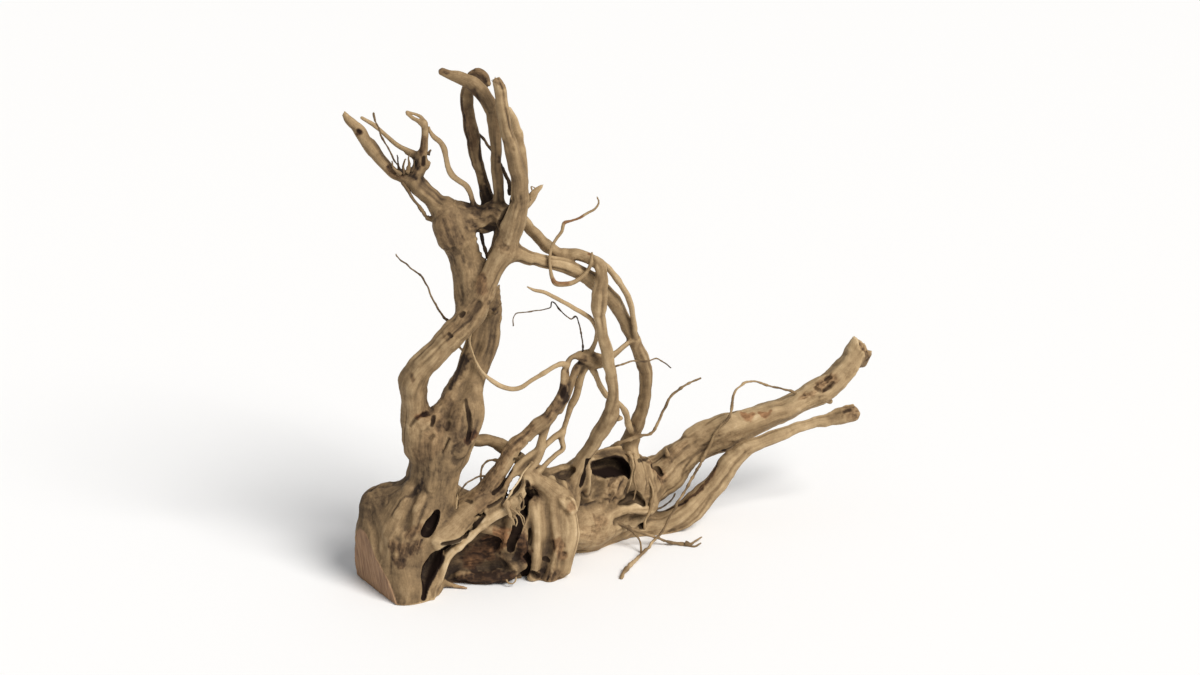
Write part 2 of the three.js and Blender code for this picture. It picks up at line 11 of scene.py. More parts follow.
import bpy
import numpy as np
import openvdb
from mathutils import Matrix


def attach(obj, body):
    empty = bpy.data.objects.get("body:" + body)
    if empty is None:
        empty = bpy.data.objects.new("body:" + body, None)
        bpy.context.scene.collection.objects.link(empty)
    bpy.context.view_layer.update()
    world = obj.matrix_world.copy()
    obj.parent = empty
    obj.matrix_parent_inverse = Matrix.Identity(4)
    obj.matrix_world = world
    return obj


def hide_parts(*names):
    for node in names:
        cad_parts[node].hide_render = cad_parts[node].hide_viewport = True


# The eye that the stations are seen from, and where the part's origin lies under it, in millimetres
SIGHT_TILT = math.radians(20)
EYE_DISTANCE = 2000.0
AIM_ACROSS, AIM_UP, AIM_HEIGHT = 300.0, 262.5, 251.4
MIDDLE = (22.4, 43.8)
SIGHT_WIDTH = 1200.0

# How finely the wood is filled in and meshed, in millimetres
VOXEL = 1.1
FIELD_REACH = 9.0
MARGIN = 14.0
UNDER_FLOOR = -6
FLOOR_GAP = 0.05

# Depths at which a sight line looks for the skin
SIGHT_DEPTHS = np.arange(-140, 260, 0.7)

# First seeds of the hollows, the dents and the fine twigs; a limb's seed is its place in FILLED
HOLLOW_SEED, DENT_SEED, TWIG_SEED = 200, 300, 300

# How far apart in the grain two limbs lie, so that no two look alike, and how far their grain mixes
GRAIN_STEP = 13.7
MIX_REACH = 3

# The fine twigs' first step in the grain, which comes after all limbs'
TWIG_STEPS = 200

# A distance, in millimetres, that stands for nothing found
FAR = 1e3

# How far a limb's lobes can reach past its radius, as a share of it
LOBE_ROOM = 1.25

# A cross direction that no limb runs along at its start
FIRST_SIDE = np.array([0.3, -1.0, 0.1])

# The eight corners of a unit cell
CORNERS = [[(corner >> axis) & 1 for axis in range(3)] for corner in range(8)]

MM_PER_METRE = 1000

# The stations of the solids' limbs: [across, up, back, radius]
FOOT_CORE = [
    [104, 6, -50, 41], [104, 34, -46, 40], [108, 62, -44, 38], [118, 86, -42, 33], [127, 106, -40, 27],
    [132, 126, -38, 24], [134, 146, -37, 23], [135, 162, -36, 25],
]
FOOT_SHOULDER = [[85, 91, -34, 23], [87, 66, -36, 28], [87, 42, -32, 30], [88, 16, -30, 30]]
LEFT_LIMB = [
    [124, 158, -36, 19], [116, 180, -38, 16.5], [113, 200, -40, 14], [113, 216, -41, 15.2],
    [121, 232, -42, 14], [134, 246, -42, 12.8], [147, 259, -41, 12.4], [160, 272, -39, 12.8],
    [172, 286, -36, 13], [182, 302, -33, 12.5], [190, 320, -30, 11.2], [197, 336, -27, 11],
    [205, 350, -24, 12],
]
RIGHT_LIMB = [
    [150, 152, -34, 22], [155, 168, -30, 23], [157, 184, -25, 23.5], [161, 200, -19, 18.5],
    [168, 220, -12, 15.6], [175, 240, -6, 15.6], [181, 258, -3, 15.6], [185, 275, -2, 14.2],
    [188, 290, -2, 12.5], [192, 303, -2, 8.5], [196, 313, -2, 3.5],
]
UPPER_TRUNK = [
    [174, 290, -27, 14], [170, 302, -24, 15], [167, 316, -22, 14.5], [166, 330, -20, 14.4],
    [163, 345, -18, 14.8], [158, 360, -16, 17.4], [152, 374, -14, 19], [150, 384, -12, 14.5],
]
CROWN_PLATE = [
    [150, 383, -12, 14], [168, 381, -11, 14], [184, 381, -10, 13.5], [197, 387, -13, 12],
    [206, 382, -17, 11],
]
CROWN_WEB = [[162, 372, -14, 12], [168, 356, -14, 9], [175, 341, -14, 8.5], [181, 328, -14, 8]]
FRONT_PRONG = [
    [206, 354, -23, 12], [211, 367, -25, 11], [216, 382, -28, 10.2], [219, 398, -30, 9.8],
    [220, 412, -32, 8.8], [218, 427, -34, 8.6], [214, 442, -36, 8.2], [210, 457, -37, 7.8],
    [206, 472, -37, 7.2], [203, 487, -36, 6.6], [201, 501, -34, 6.2], [199, 513, -32, 6.4],
    [196, 520, -30, 5],
]
BACK_PRONG = [
    [223, 418, -24, 5], [222, 435, -22, 5.2], [219, 452, -20, 5], [217, 467, -20, 4.6], [214, 479, -20, 4],
    [209, 490, -22, 2.4],
]
BROWN_PRONG = [
    [189, 390, 0, 7.5], [186, 405, 3, 6.6], [181, 422, 6, 6], [177, 439, 7, 6], [174, 455, 8, 6.3],
    [171, 470, 8, 7], [168, 485, 8, 6.9], [166, 499, 7, 6.8], [167, 510, 6, 6.4], [171, 518, 4, 6],
    [178, 522, 2, 6.4],
]
HOOKED_PRONG = [
    [199, 392, -10, 7], [198, 410, -11, 5.2], [197, 428, -12, 5.2], [196, 445, -12, 5.5],
    [195, 462, -12, 5.6], [194, 478, -12, 6.2], [191, 492, -12, 7.5], [185, 503, -11, 8],
    [177, 512, -10, 8], [168, 519, -9, 6.8], [158, 523, -10, 6], [149, 525, -11, 5], [140, 529, -12, 4.2],
]
CROWN_STUB = [
    [219, 392, -22, 6], [228, 399, -16, 5], [234, 405, -13, 4.4], [238, 410, -11, 3], [242, 414, -10, 2],
]
LEFT_FORK = [
    [148, 385, -12, 12], [137, 396, -11, 10.6], [128, 405, -10, 9.6], [119, 414, -9, 9.5],
    [111, 421, -8, 9], [104, 423, -8, 7],
]
BROKEN_TINE = [
    [104, 423, -8, 5], [94, 427, -10, 6.2], [85, 436, -12, 6.2], [76, 447, -14, 6.6], [68, 458, -16, 6.2],
    [61, 468, -18, 6.5], [54, 475, -20, 5], [48, 481, -21, 3.8], [44, 486, -22, 2.8],
]
UPRIGHT_TINE = [
    [114, 422, -8, 7.5], [120, 433, -8, 5.7], [122, 443, -8, 5.2], [124, 452, -9, 4], [125, 461, -10, 3.4],
    [125, 470, -11, 3.4], [124, 477, -12, 3],
]
TINE_LOOP_LOW = [[124, 476, -12, 2.6], [118, 479, -13, 2], [112, 482, -14, 1.8], [107, 486, -15, 1.6]]
TINE_LOOP_HIGH = [[125, 477, -11, 2.2], [121, 483, -11, 1.6], [115, 486, -12, 1.3], [107, 488, -14, 1.3]]
SIDE_TINE = [
    [122, 440, -7, 4.4], [116, 445, -5, 3.5], [108, 449, -4, 3], [99, 454, -3, 2.8], [90, 461, -2, 2.5],
    [81, 469, -1, 2.3], [71, 477, 0, 2.1], [62, 482, 0, 1.9],
]
TINE_WEB = [[119, 432, -6, 3.4], [114, 442, -5, 2.2], [106, 447, -4, 1.5]]
DARK_TWIG = [
    [101, 428, -14, 1.8], [96, 437, -16, 1.3], [90, 448, -17, 1.2], [84, 459, -18, 1.1],
    [80, 469, -18, 1.2], [76, 478, -19, 1.2], [74, 487, -19, 1.1],
]
SIDE_STRAND = [
    [103, 418, -12, 2.2], [109, 409, -14, 1.8], [114, 400, -15, 1.6], [121, 390, -15, 1.7],
    [128, 382, -14, 2], [136, 381, -12, 2.6],
]
CROWN_TWIG = [
    [176, 390, -12, 4.2], [172, 400, -12, 3.5], [169, 409, -12, 3.1], [165, 415, -12, 3],
    [158, 420, -11, 2.8], [152, 425, -10, 2.7], [148, 433, -9, 2.6], [146, 443, -8, 2.5],
    [144, 452, -7, 2.6], [140, 458, -6, 2.6], [134, 463, -5, 2.5], [130, 469, -5, 1.8], [129, 473, -5, 1],
]
CROSS_TWIG = [
    [179, 466, 12, 1.6], [185, 459, 12, 1.8], [191, 451, 11, 1.8], [198, 440, 8, 2], [204, 429, 3, 2.2],
    [209, 418, -4, 2.5], [211, 406, -10, 3],
]
ARCH_TOP = [
    [206, 350, -23, 11], [217, 346, -19, 8.8], [229, 342, -15, 7.1], [241, 339, -11, 6.9],
    [253, 337, -6, 7.2], [265, 334, -1, 7.2], [277, 329, 5, 7], [289, 322, 11, 7], [300, 313, 17, 7.2],
    [310, 302, 23, 7.2], [319, 289, 29, 7.2], [326, 276, 35, 7.2], [333, 261, 41, 7.5],
]
ARCH_LEG = [
    [333, 261, 41, 7.5], [340, 246, 47, 7.5], [345, 230, 53, 7.1], [346, 214, 58, 6.9], [344, 198, 63, 7.3],
    [340, 182, 69, 7.7], [333, 167, 75, 8], [328, 153, 80, 8.6], [328, 138, 85, 10], [332, 122, 88, 12],
]
FRONT_RIB = [
    [299, 336, -2, 5.5], [302, 327, -7, 6], [301, 313, -11, 6], [299, 299, -13, 6], [299, 285, -14, 5.4],
    [301, 270, -13, 5.1], [305, 255, -11, 5.6], [308, 240, -9, 5.7], [311, 225, -6, 6], [313, 210, -3, 6.4],
    [313, 196, 0, 7], [309, 182, 3, 8.4], [301, 168, 6, 8], [292, 154, 9, 7.8], [283, 140, 11, 8],
    [276, 127, 12, 8.6], [271, 113, 12, 10], [268, 98, 10, 12],
]
RIB_KNOB = [[310, 183, 2, 6], [320, 182, 0, 2.6]]
UPPER_ROOT = [
    [213, 388, -12, 6], [222, 382, -4, 5.5], [230, 372, 2, 5.5], [239, 363, 6, 5.8], [248, 354, 8, 6],
    [256, 348, 9, 6.2], [267, 346, 9, 5.5], [278, 345, 8, 5.1], [288, 342, 6, 5.1], [297, 337, 3, 5.2],
]
OUTER_RIB = [
    [296, 341, 1, 3.6], [306, 334, 3, 3.1], [314, 325, 6, 3], [321, 315, 10, 3], [327, 305, 15, 3],
    [331, 294, 20, 3.1], [333, 283, 25, 3.2], [334, 271, 31, 3], [334, 261, 37, 2.5],
]
ROOT_KNOT = [
    [281, 244, -2, 4.6], [288, 242, 1, 7], [297, 239, 6, 6], [305, 241, 13, 4.6], [314, 246, 21, 3.4],
    [323, 253, 29, 3.3], [333, 261, 38, 3.5],
]
SLANTING_ROOT = [
    [291, 237, 3, 3.6], [296, 224, 8, 2.8], [301, 213, 14, 2.7], [307, 204, 21, 2.7], [314, 200, 29, 2.6],
    [321, 194, 38, 2.5], [326, 186, 48, 2.7], [328, 176, 58, 3], [333, 167, 70, 3],
]
BRAID_LEFT = [
    [286, 244, -1, 3.6], [277, 245, -3, 3], [270, 241, -5, 3.2], [266, 233, -7, 4], [264, 222, -9, 4.3],
    [263, 211, -10, 5], [260, 201, -11, 6], [254, 191, -13, 6.3], [246, 181, -15, 6.6],
    [236, 173, -17, 6.6], [226, 164, -20, 7], [216, 154, -23, 7.4], [208, 143, -26, 7.4],
    [201, 131, -30, 7.6], [193, 119, -34, 8.6], [184, 106, -38, 10.6], [173, 94, -42, 12.5],
    [160, 84, -46, 14],
]
BRAID_MIDDLE = [
    [283, 239, 1, 3.6], [277, 231, -1, 3.5], [272, 221, -4, 3.3], [269, 211, -7, 3.6], [265, 201, -9, 4.2],
    [259, 190, -13, 4],
]
BRAID_RIGHT = [
    [287, 238, 3, 3.6], [282, 226, 3, 2.8], [279, 215, 2, 3.7], [276, 204, 0, 4.1], [271, 194, -2, 3.6],
    [268, 184, -4, 3.1], [265, 173, -6, 2.9], [262, 162, -8, 3.3], [263, 152, -9, 3.3], [256, 145, -12, 3],
    [248, 138, -15, 3], [240, 130, -18, 3.3], [232, 122, -21, 4],
]
BRAID_LINK = [
    [262, 168, -8, 3.4], [254, 162, -10, 3.2], [247, 156, -13, 3], [238, 150, -17, 3.2],
    [230, 144, -20, 3.5], [221, 136, -24, 3.8], [214, 127, -28, 4], [207, 117, -32, 4.2],
    [201, 108, -36, 5], [193, 99, -40, 6.6], [183, 90, -43, 8.5],
]
BRAID_LOW = [
    [251, 186, -13, 4.6], [246, 175, -14, 4.6], [243, 164, -15, 4.3], [241, 153, -17, 4.7],
    [237, 142, -19, 5.2], [231, 134, -22, 4.8], [223, 129, -26, 4.2], [214, 123, -30, 3.8],
    [207, 114, -34, 3.8],
]
SAGGING_TWIG = [
    [170, 257, -18, 1.6], [173, 247, -22, 1.6], [177, 237, -24, 1.7], [183, 227, -26, 2],
    [191, 220, -26, 2.6], [201, 214, -25, 3], [212, 211, -24, 3], [222, 213, -22, 2.9],
    [231, 219, -20, 2.7], [241, 225, -18, 2.6], [251, 231, -16, 2.8], [260, 236, -13, 3],
    [267, 235, -9, 3.2],
]
BRIDGE_ROOT = [
    [166, 160, -14, 8.5], [180, 160, -4, 7.4], [192, 160, 3, 6.4], [203, 154, 9, 7], [214, 145, 14, 7.6],
    [227, 135, 18, 8], [241, 125, 20, 9], [256, 115, 18, 10],
]
FLAP = [
    [138, 62, -64, 13], [150, 70, -60, 12], [160, 79, -56, 10], [169, 88, -51, 8.5], [179, 96, -46, 7],
    [190, 103, -42, 6],
]
TORN_RIM = [
    [134, 8, -62, 5.5], [139, 24, -61, 5], [145, 38, -60, 4.8], [154, 49, -58, 4.6], [164, 58, -55, 4.6],
    [173, 67, -52, 4.6], [182, 76, -49, 5], [193, 84, -46, 5.4], [204, 90, -42, 5.4], [214, 98, -38, 5],
    [222, 108, -33, 4.6], [228, 118, -27, 4.6],
]
WALL_LOW = [
    [148, 36, -20, 24], [170, 40, -18, 26], [194, 42, -16, 27], [216, 44, -14, 27], [234, 46, -12, 26],
]
WALL_HIGH = [
    [150, 76, -22, 23], [172, 78, -18, 24], [196, 84, -12, 26], [220, 88, -6, 25], [236, 94, 0, 22],
]
WALL_TOP = [[188, 100, -14, 11], [200, 106, -8, 13], [216, 112, 0, 15], [236, 118, 8, 14]]
MIDDLE_LEG = [
    [254, 110, -4, 14], [252, 97, -8, 19], [252, 82, -12, 22], [252, 66, -15, 23.5], [250, 50, -18, 22.6],
    [247, 35, -20, 20.8], [244, 20, -22, 19.4],
]
LEG_STRUT = [
    [228, 127, -22, 6], [237, 120, -20, 7.2], [247, 112, -16, 8], [257, 104, -12, 9], [264, 97, -8, 10],
]
BASE_ROOT = [
    [270, 76, 28, 26], [288, 80, 46, 28], [308, 88, 63, 28.5], [328, 99, 79, 26.5], [347, 114, 95, 23.5],
]
UNDER_ROOT = [[284, 64, 46, 20], [304, 70, 62, 18], [324, 76, 76, 17], [344, 80, 84, 16]]
HOLLOW_STUMP = [
    [250, 118, 8, 12], [268, 122, 18, 14], [286, 127, 32, 16], [300, 130, 44, 18], [312, 132, 56, 19],
    [322, 120, 62, 19],
]
LONG_BRANCH = [
    [348, 117, 98, 22], [366, 129, 106, 19.5], [385, 147, 113, 15.6], [405, 160, 119, 16.6],
    [425, 169, 125, 17], [445, 177, 131, 15.8], [465, 184, 137, 14.6], [485, 191, 143, 13.2],
    [505, 201, 149, 12.6], [522, 211, 154, 13.4], [537, 222, 159, 13], [548, 235, 164, 11.2],
    [555, 247, 168, 10.2], [560, 254, 170, 10.8],
]
BRANCH_KNOT = [[390, 163, 113, 7], [404, 169, 117, 7]]
LOW_BRANCH = [
    [350, 75, 82, 14], [367, 78, 83, 13], [382, 86, 85, 12.8], [396, 98, 88, 12], [409.5, 111, 91, 11.4],
    [421, 125, 94, 10.8], [430, 138, 97, 10], [441, 148, 100, 8.8], [454, 155, 104, 7.4],
    [474, 163, 111, 6.6], [494, 171, 118, 6.1], [512, 177, 125, 5.2], [528, 180, 131, 6.3],
    [543, 185, 136, 8.6], [555, 188, 140, 8],
]
LOOP_TWIG = [
    [297, 403, 6, 0.9], [299, 397, 5, 1.3], [295, 391, 4, 1.5], [288, 387, 2, 1.8], [279, 382, 0, 1.8],
    [270, 379, -2, 2], [264, 377, -4, 2.2], [262, 369, -6, 2], [257, 362, -8, 1.9], [252, 354, -11, 2],
    [250, 344, -16, 2.3], [250, 333, -17, 2.3], [252, 323, -16, 2.5], [255, 317, -14, 2.7],
    [264, 316, -10, 2.5], [274, 318, -6, 2.4], [282, 323, -4, 2.4], [288, 330, -3, 2.4],
    [291, 338, -4, 2.2], [292, 347, -5, 1.2],
]
POINTED_TWIG = [
    [227, 313, -30, 0.9], [234, 310, -29, 2.1], [244, 308, -27, 2.4], [254, 303, -24, 2.6],
    [264, 298, -21, 2.7], [274, 292, -17, 2.9], [284, 286, -12, 2.8], [291, 281, -7, 2.8],
    [296, 273, -3, 2.8], [297, 264, -1, 2.7], [294, 255, 0, 2.8], [289, 246, 1, 3.4],
]
HAIR_ROOT = [
    [282, 244, -2, 1.1], [283, 255, -4, 0.9], [281, 266, -7, 0.9], [279, 276, -9, 0.8],
    [276, 284, -11, 0.8], [271, 281, -13, 0.8], [266, 284, -14, 0.8], [258, 292, -16, 0.8],
    [252, 298, -18, 0.8], [251, 293, -19, 0.8], [246, 291, -20, 0.8], [238, 290, -22, 0.7],
    [229, 288, -24, 0.7], [221, 287, -25, 0.7], [216, 286, -26, 0.7], [213, 281, -27, 0.7],
    [213, 274, -28, 0.6],
]
REACHING_TWIG = [
    [297, 236, 6, 2], [309, 233, 13, 1.3], [320, 235, 21, 1.2], [333, 239, 28, 1.1], [345, 239, 34, 1.1],
    [357, 241, 38, 1], [365, 237, 41, 0.9], [371, 232, 43, 0.8],
]
DRAPING_ROOT = [
    [496, 207, 140, 2], [480, 212, 136, 1.6], [466, 215, 131, 1.6], [452, 219, 126, 1.6],
    [443, 216, 121, 1.6], [436, 210, 116, 1.6], [433, 201, 112, 1.8], [431, 190, 109, 1.9],
    [428, 181, 106, 1.9], [420, 173, 104, 1.9], [414, 165, 102, 1.9], [409, 154, 99, 1.9],
    [404, 143, 95, 2], [398, 132, 89, 2], [392, 121, 82, 2], [386, 110, 74, 1.9], [379, 100, 66, 1.8],
    [372, 86, 59, 1.8], [366, 76, 51, 1.8], [360, 66, 41, 1.9], [352, 57, 28, 2], [345, 49, 16, 2.2],
    [337, 41, 3, 2.6], [329, 34, -12, 2.9], [324, 28, -24, 2.7], [321, 22, -35, 2.3],
]
FLOOR_ROOT = [
    [306, 84, 44, 3], [318, 77, 38, 2.3], [328, 72, 38, 2.1], [337, 69, 39, 1.9], [346, 66, 41, 1.9],
    [356, 62, 43, 1.8], [366, 59, 44, 1.7], [376, 57, 44, 1.7], [386, 56, 44, 2], [393, 57, 47, 1.4],
    [402, 63, 55, 0.9],
]
FLOOR_ROOT_FORK = [[386, 56, 44, 1.6], [394, 53, 40, 1.1], [401, 57, 42, 0.8]]
FLOOR_TWIG = [
    [328, 72, 38, 1.7], [336, 65, 35, 1.5], [340, 59, 32, 1.4], [341, 52, 28, 1.3], [341, 47, 25, 1.2],
]
HANGING_ROOT = [
    [331, 141, 80, 2.2], [341, 133, 71, 1.7], [347, 124, 68, 1.6], [352, 112, 64, 1.6], [352, 99, 60, 1.6],
    [349, 88, 56, 1.5], [345, 78, 51, 1.5], [344, 71, 48, 1.2],
]
BACK_TWIG = [[356, 90, 90, 1.6], [365, 95, 96, 1.2], [372, 101, 100, 1.1], [375, 107, 104, 0.8]]
RISING_TWIG = [
    [295, 142, 58, 3.4], [308, 151, 60, 2.5], [319, 157, 60, 2.2], [330, 161, 61, 2], [341, 164, 62, 1.9],
    [350, 166, 64, 1.9], [356, 173, 66, 1.8], [361, 184, 69, 1.8], [366, 195, 72, 1.7], [371, 204, 75, 1.6],
    [378, 210, 78, 1.6], [389, 217, 81, 1.5], [401, 222, 84, 1.2],
]
SIDE_TWIG = [
    [96, 346, -52, 0.9], [101, 340, -51, 1.2], [110, 333, -49, 1.3], [118, 327, -47, 1.4],
    [124, 320, -45, 1.4], [128, 311, -42, 1.4], [132, 301, -38, 1.5], [138, 291, -33, 1.6],
    [144, 283, -27, 1.9], [150, 277, -20, 2], [155, 265, -15, 1.7], [159, 255, -12, 1.7],
    [164, 247, -9, 2.2],
]
LOOP_ROOT = [
    [206, 139, -24, 2.2], [196, 140, -20, 1.5], [188, 139, -19, 1.4], [183, 134, -20, 1.4],
    [181, 126, -22, 1.4], [181, 116, -28, 1.6], [184, 108, -34, 2],
]
LOW_HAIR = [
    [160, 91, -44, 2], [158, 100, -38, 1.4], [162, 111, -35, 1.2], [167, 117, -33, 1.1],
    [176, 122, -31, 1.1], [183, 124, -30, 1.2], [190, 119, -32, 1.8],
]
FOOT_SPLINTER = [[138, 19, -58, 3.8], [148, 16, -55, 2.8], [157, 14, -56, 2.2], [167, 12, -58, 1]]
HOOK_SPLINTER = [[187, 287, -12, 2.4], [193, 286, -18, 1.6], [198, 291, -21, 1.1], [201, 297, -22, 0.8]]


# Wood that only shows close up: ridges, burrs, roots on the back, and splinters, in the same stations
CROWN_EDGE = [[200, 368, -16, 5], [197, 357, -14, 5.5], [193, 345, -15, 5]]
CROWN_BURR = [[170, 525, 0, 3.4], [177, 527, 0, 4.6], [183, 524, -1, 4.6], [187, 517, -3, 3.4]]
FORK_LUMP = [[127, 434, -6, 2.6], [129, 437, -6, 1.8]]
TORN_CHUNK = [[322, 122, 42, 6], [317, 115, 39, 8], [311, 105, 38, 7], [306, 94, 38, 6], [302, 84, 38, 6]]
ARCH_BRACE = [
    [331, 158, 78, 8], [331, 147, 71, 8], [333, 135, 65, 7.4], [335, 123, 62, 6.4], [336, 112, 62, 5],
    [336, 102, 63, 3],
]
HEEL_WALL = [[286, 106, 34, 12], [297, 111, 40, 13], [310, 107, 50, 12]]
HEEL_FACE = [[343, 132, 79, 12], [345, 116, 77, 13], [347, 102, 79, 12]]
HEEL_RIM = [[290, 138, 40, 3], [297, 146, 46, 3.2], [308, 149, 52, 3], [319, 150, 58, 3.4]]
BACK_ROOT = [[232, 62, 18, 17], [262, 66, 32, 18], [292, 72, 58, 18]]
BACK_BUTTRESS = [[142, 60, -14, 22], [170, 64, 2, 19], [202, 74, 14, 17], [236, 84, 22, 15]]
BACK_SPUR = [[150, 104, -20, 13], [178, 92, -2, 11], [204, 84, 10, 9]]
BRANCH_LUMP = [[525, 203, 154, 5], [530, 199, 155, 3]]
BRANCH_CORNER = [[552, 251, 165, 3.6], [554, 257, 166, 3], [555, 261, 166, 1.8]]
BRANCH_BARK = [[563, 238, 172, 5], [567, 245, 173, 4.4], [570, 247, 174, 2.6]]
BRANCH_THORN = [[367, 146, 97, 3], [366, 151, 96, 1.2]]
WALL_ROOT_A = [[152, 84, -50, 5], [172, 78, -44, 5], [196, 70, -42, 5.5], [218, 64, -40, 6]]
WALL_ROOT_B = [[160, 24, -44, 6], [184, 22, -44, 6], [208, 26, -44, 7], [222, 36, -42, 6]]
TWIG_START = [[174, 279, -15, 1.1], [173, 271, -17, 1.3], [170, 264, -18, 1.5]]
SHOULDER_ROOT = [[74, 99, -40, 8], [84, 102, -40, 9], [98, 104, -44, 9], [110, 112, -50, 8]]

# Relief that follows the skin as it is seen: [across, up, how far behind the skin, radius]
LEG_RIDGE = [
    [227, 122, 1, 4], [230, 106, 1, 5], [235, 86, 1, 5.4], [237, 62, 1, 5.8], [236, 40, 1, 5.8],
    [233, 24, 1, 5.2],
]
LEG_EDGE = [
    [262, 98, 0, 5], [271, 86, 0, 5], [274, 72, 0, 4.6], [273, 62, 0, 5.4], [270, 48, 1, 5],
    [266, 30, 1, 5],
]
LEG_KNOB = [[270, 96, 1, 6], [272, 91, 1, 5.4]]
LEG_FOLD_LOW = [[258, 66, 3, 5], [255, 48, 2.6, 5.6], [252, 32, 2.4, 5.6], [249, 22, 2, 5]]
HEEL_STRIP = [[293, 140, 1, 2], [290, 130, 1, 2.6], [291, 119, 1, 2.8], [288, 108, 2, 3.2]]
HEEL_RIDGE = [[303, 74, 2, 3.4], [309, 85, 2, 4], [320, 91, 2, 4.2], [335, 92, 2.4, 4.4], [350, 91, 3, 4]]
TORN_LIP = [
    [152, 50, 1, 3], [147, 43, 1, 3.4], [144, 33, 1, 3.4], [140, 22, 1, 3.6], [135, 11, 1, 3.6],
    [132, 2, 1, 3.6],
]
PALE_LIP = [
    [137, 60, 1.4, 2.4], [146, 57, 1, 2.6], [157, 59, 1, 2.6], [164, 65, 1, 2.6], [173, 73, 1.4, 2.4],
    [182, 82, 1.6, 2],
]
WALL_LUMP = [[203, 42, 3, 5], [209, 38, 1, 7], [214, 32, 2, 6]]
WALL_RIB = [[213, 98, 3, 5], [214, 84, 2, 7], [212, 66, 2, 8], [206, 48, 3, 7]]
SLIT_ROOT = [[224, 78, 4, 4], [223, 62, 3, 5], [221, 48, 3, 5]]
TRUNK_BULGE = [[161, 158, 3, 5], [163, 150, 2, 6], [158, 146, 3, 5]]
FOOT_FACET = [[98, 58, 7, 9], [101, 38, 7, 9], [106, 16, 7, 9]]
LIMB_WEB = [[128, 176, 3, 6], [140, 186, 4, 7], [150, 200, 4, 7], [156, 214, 4, 6]]
TRUNK_FLANGE = [[175, 210, 3, 5], [178, 196, 3, 6], [177, 180, 3, 6.4], [172, 166, 3, 6], [160, 150, 3, 6]]

# Gaps seen right through the wood, cut along the sight: [across, up, radius]
STRAP_GAPS = [[176, 84, 1.5], [179.5, 85.3, 2.1], [183.5, 87, 1.6], [217.5, 122.5, 2]]
CROWN_GAPS = [[178, 365, 3.4], [179.5, 358, 3.4], [181.5, 351, 3], [184, 345, 2]]
BRAID_GAPS = [[215, 119.5, 2.6], [212.3, 115.5, 2.6], [210, 111.5, 2.2], [208.4, 107, 1.8], [207, 103, 1.4]]


def sight_cuts(gaps, front, back):
    """Hollows that run straight back along the sight."""
    return [([[across, up, front, radius], [across, up, back, radius]], 0.0) for across, up, radius in gaps]


# Hollows eaten out of the wood at their own depth, and how dark the painted shade inside them is
HOLLOWS = [
    ([[340, 73, 52, 3], [343, 74, 70, 2.6]], 0.9),
    ([[265, 209, -16, 3.2], [264, 204, -16, 2]], 0.8),
    ([[60.5, 467.5, -24.5, 1.8], [58.5, 469, -24, 1.4]], 0.6),
    ([[124, 442, -13, 1.4], [123.5, 436, -13, 1.5]], 0.8),
    ([[272, 130, 8, 4], [262, 126, 2, 5], [252, 128, -2, 3]], 0.4),
]
HOLLOWS += sight_cuts(STRAP_GAPS, -90, 90)
HOLLOWS += sight_cuts(CROWN_GAPS, -70, 60)
HOLLOWS += sight_cuts(BRAID_GAPS, -90, 90)

# Dents darker than this have crisp edges, and the others flow softly into the wood around them
DARK_DENT = 0.4
CRISP_EDGE, SOFT_EDGE = 1.4, 4
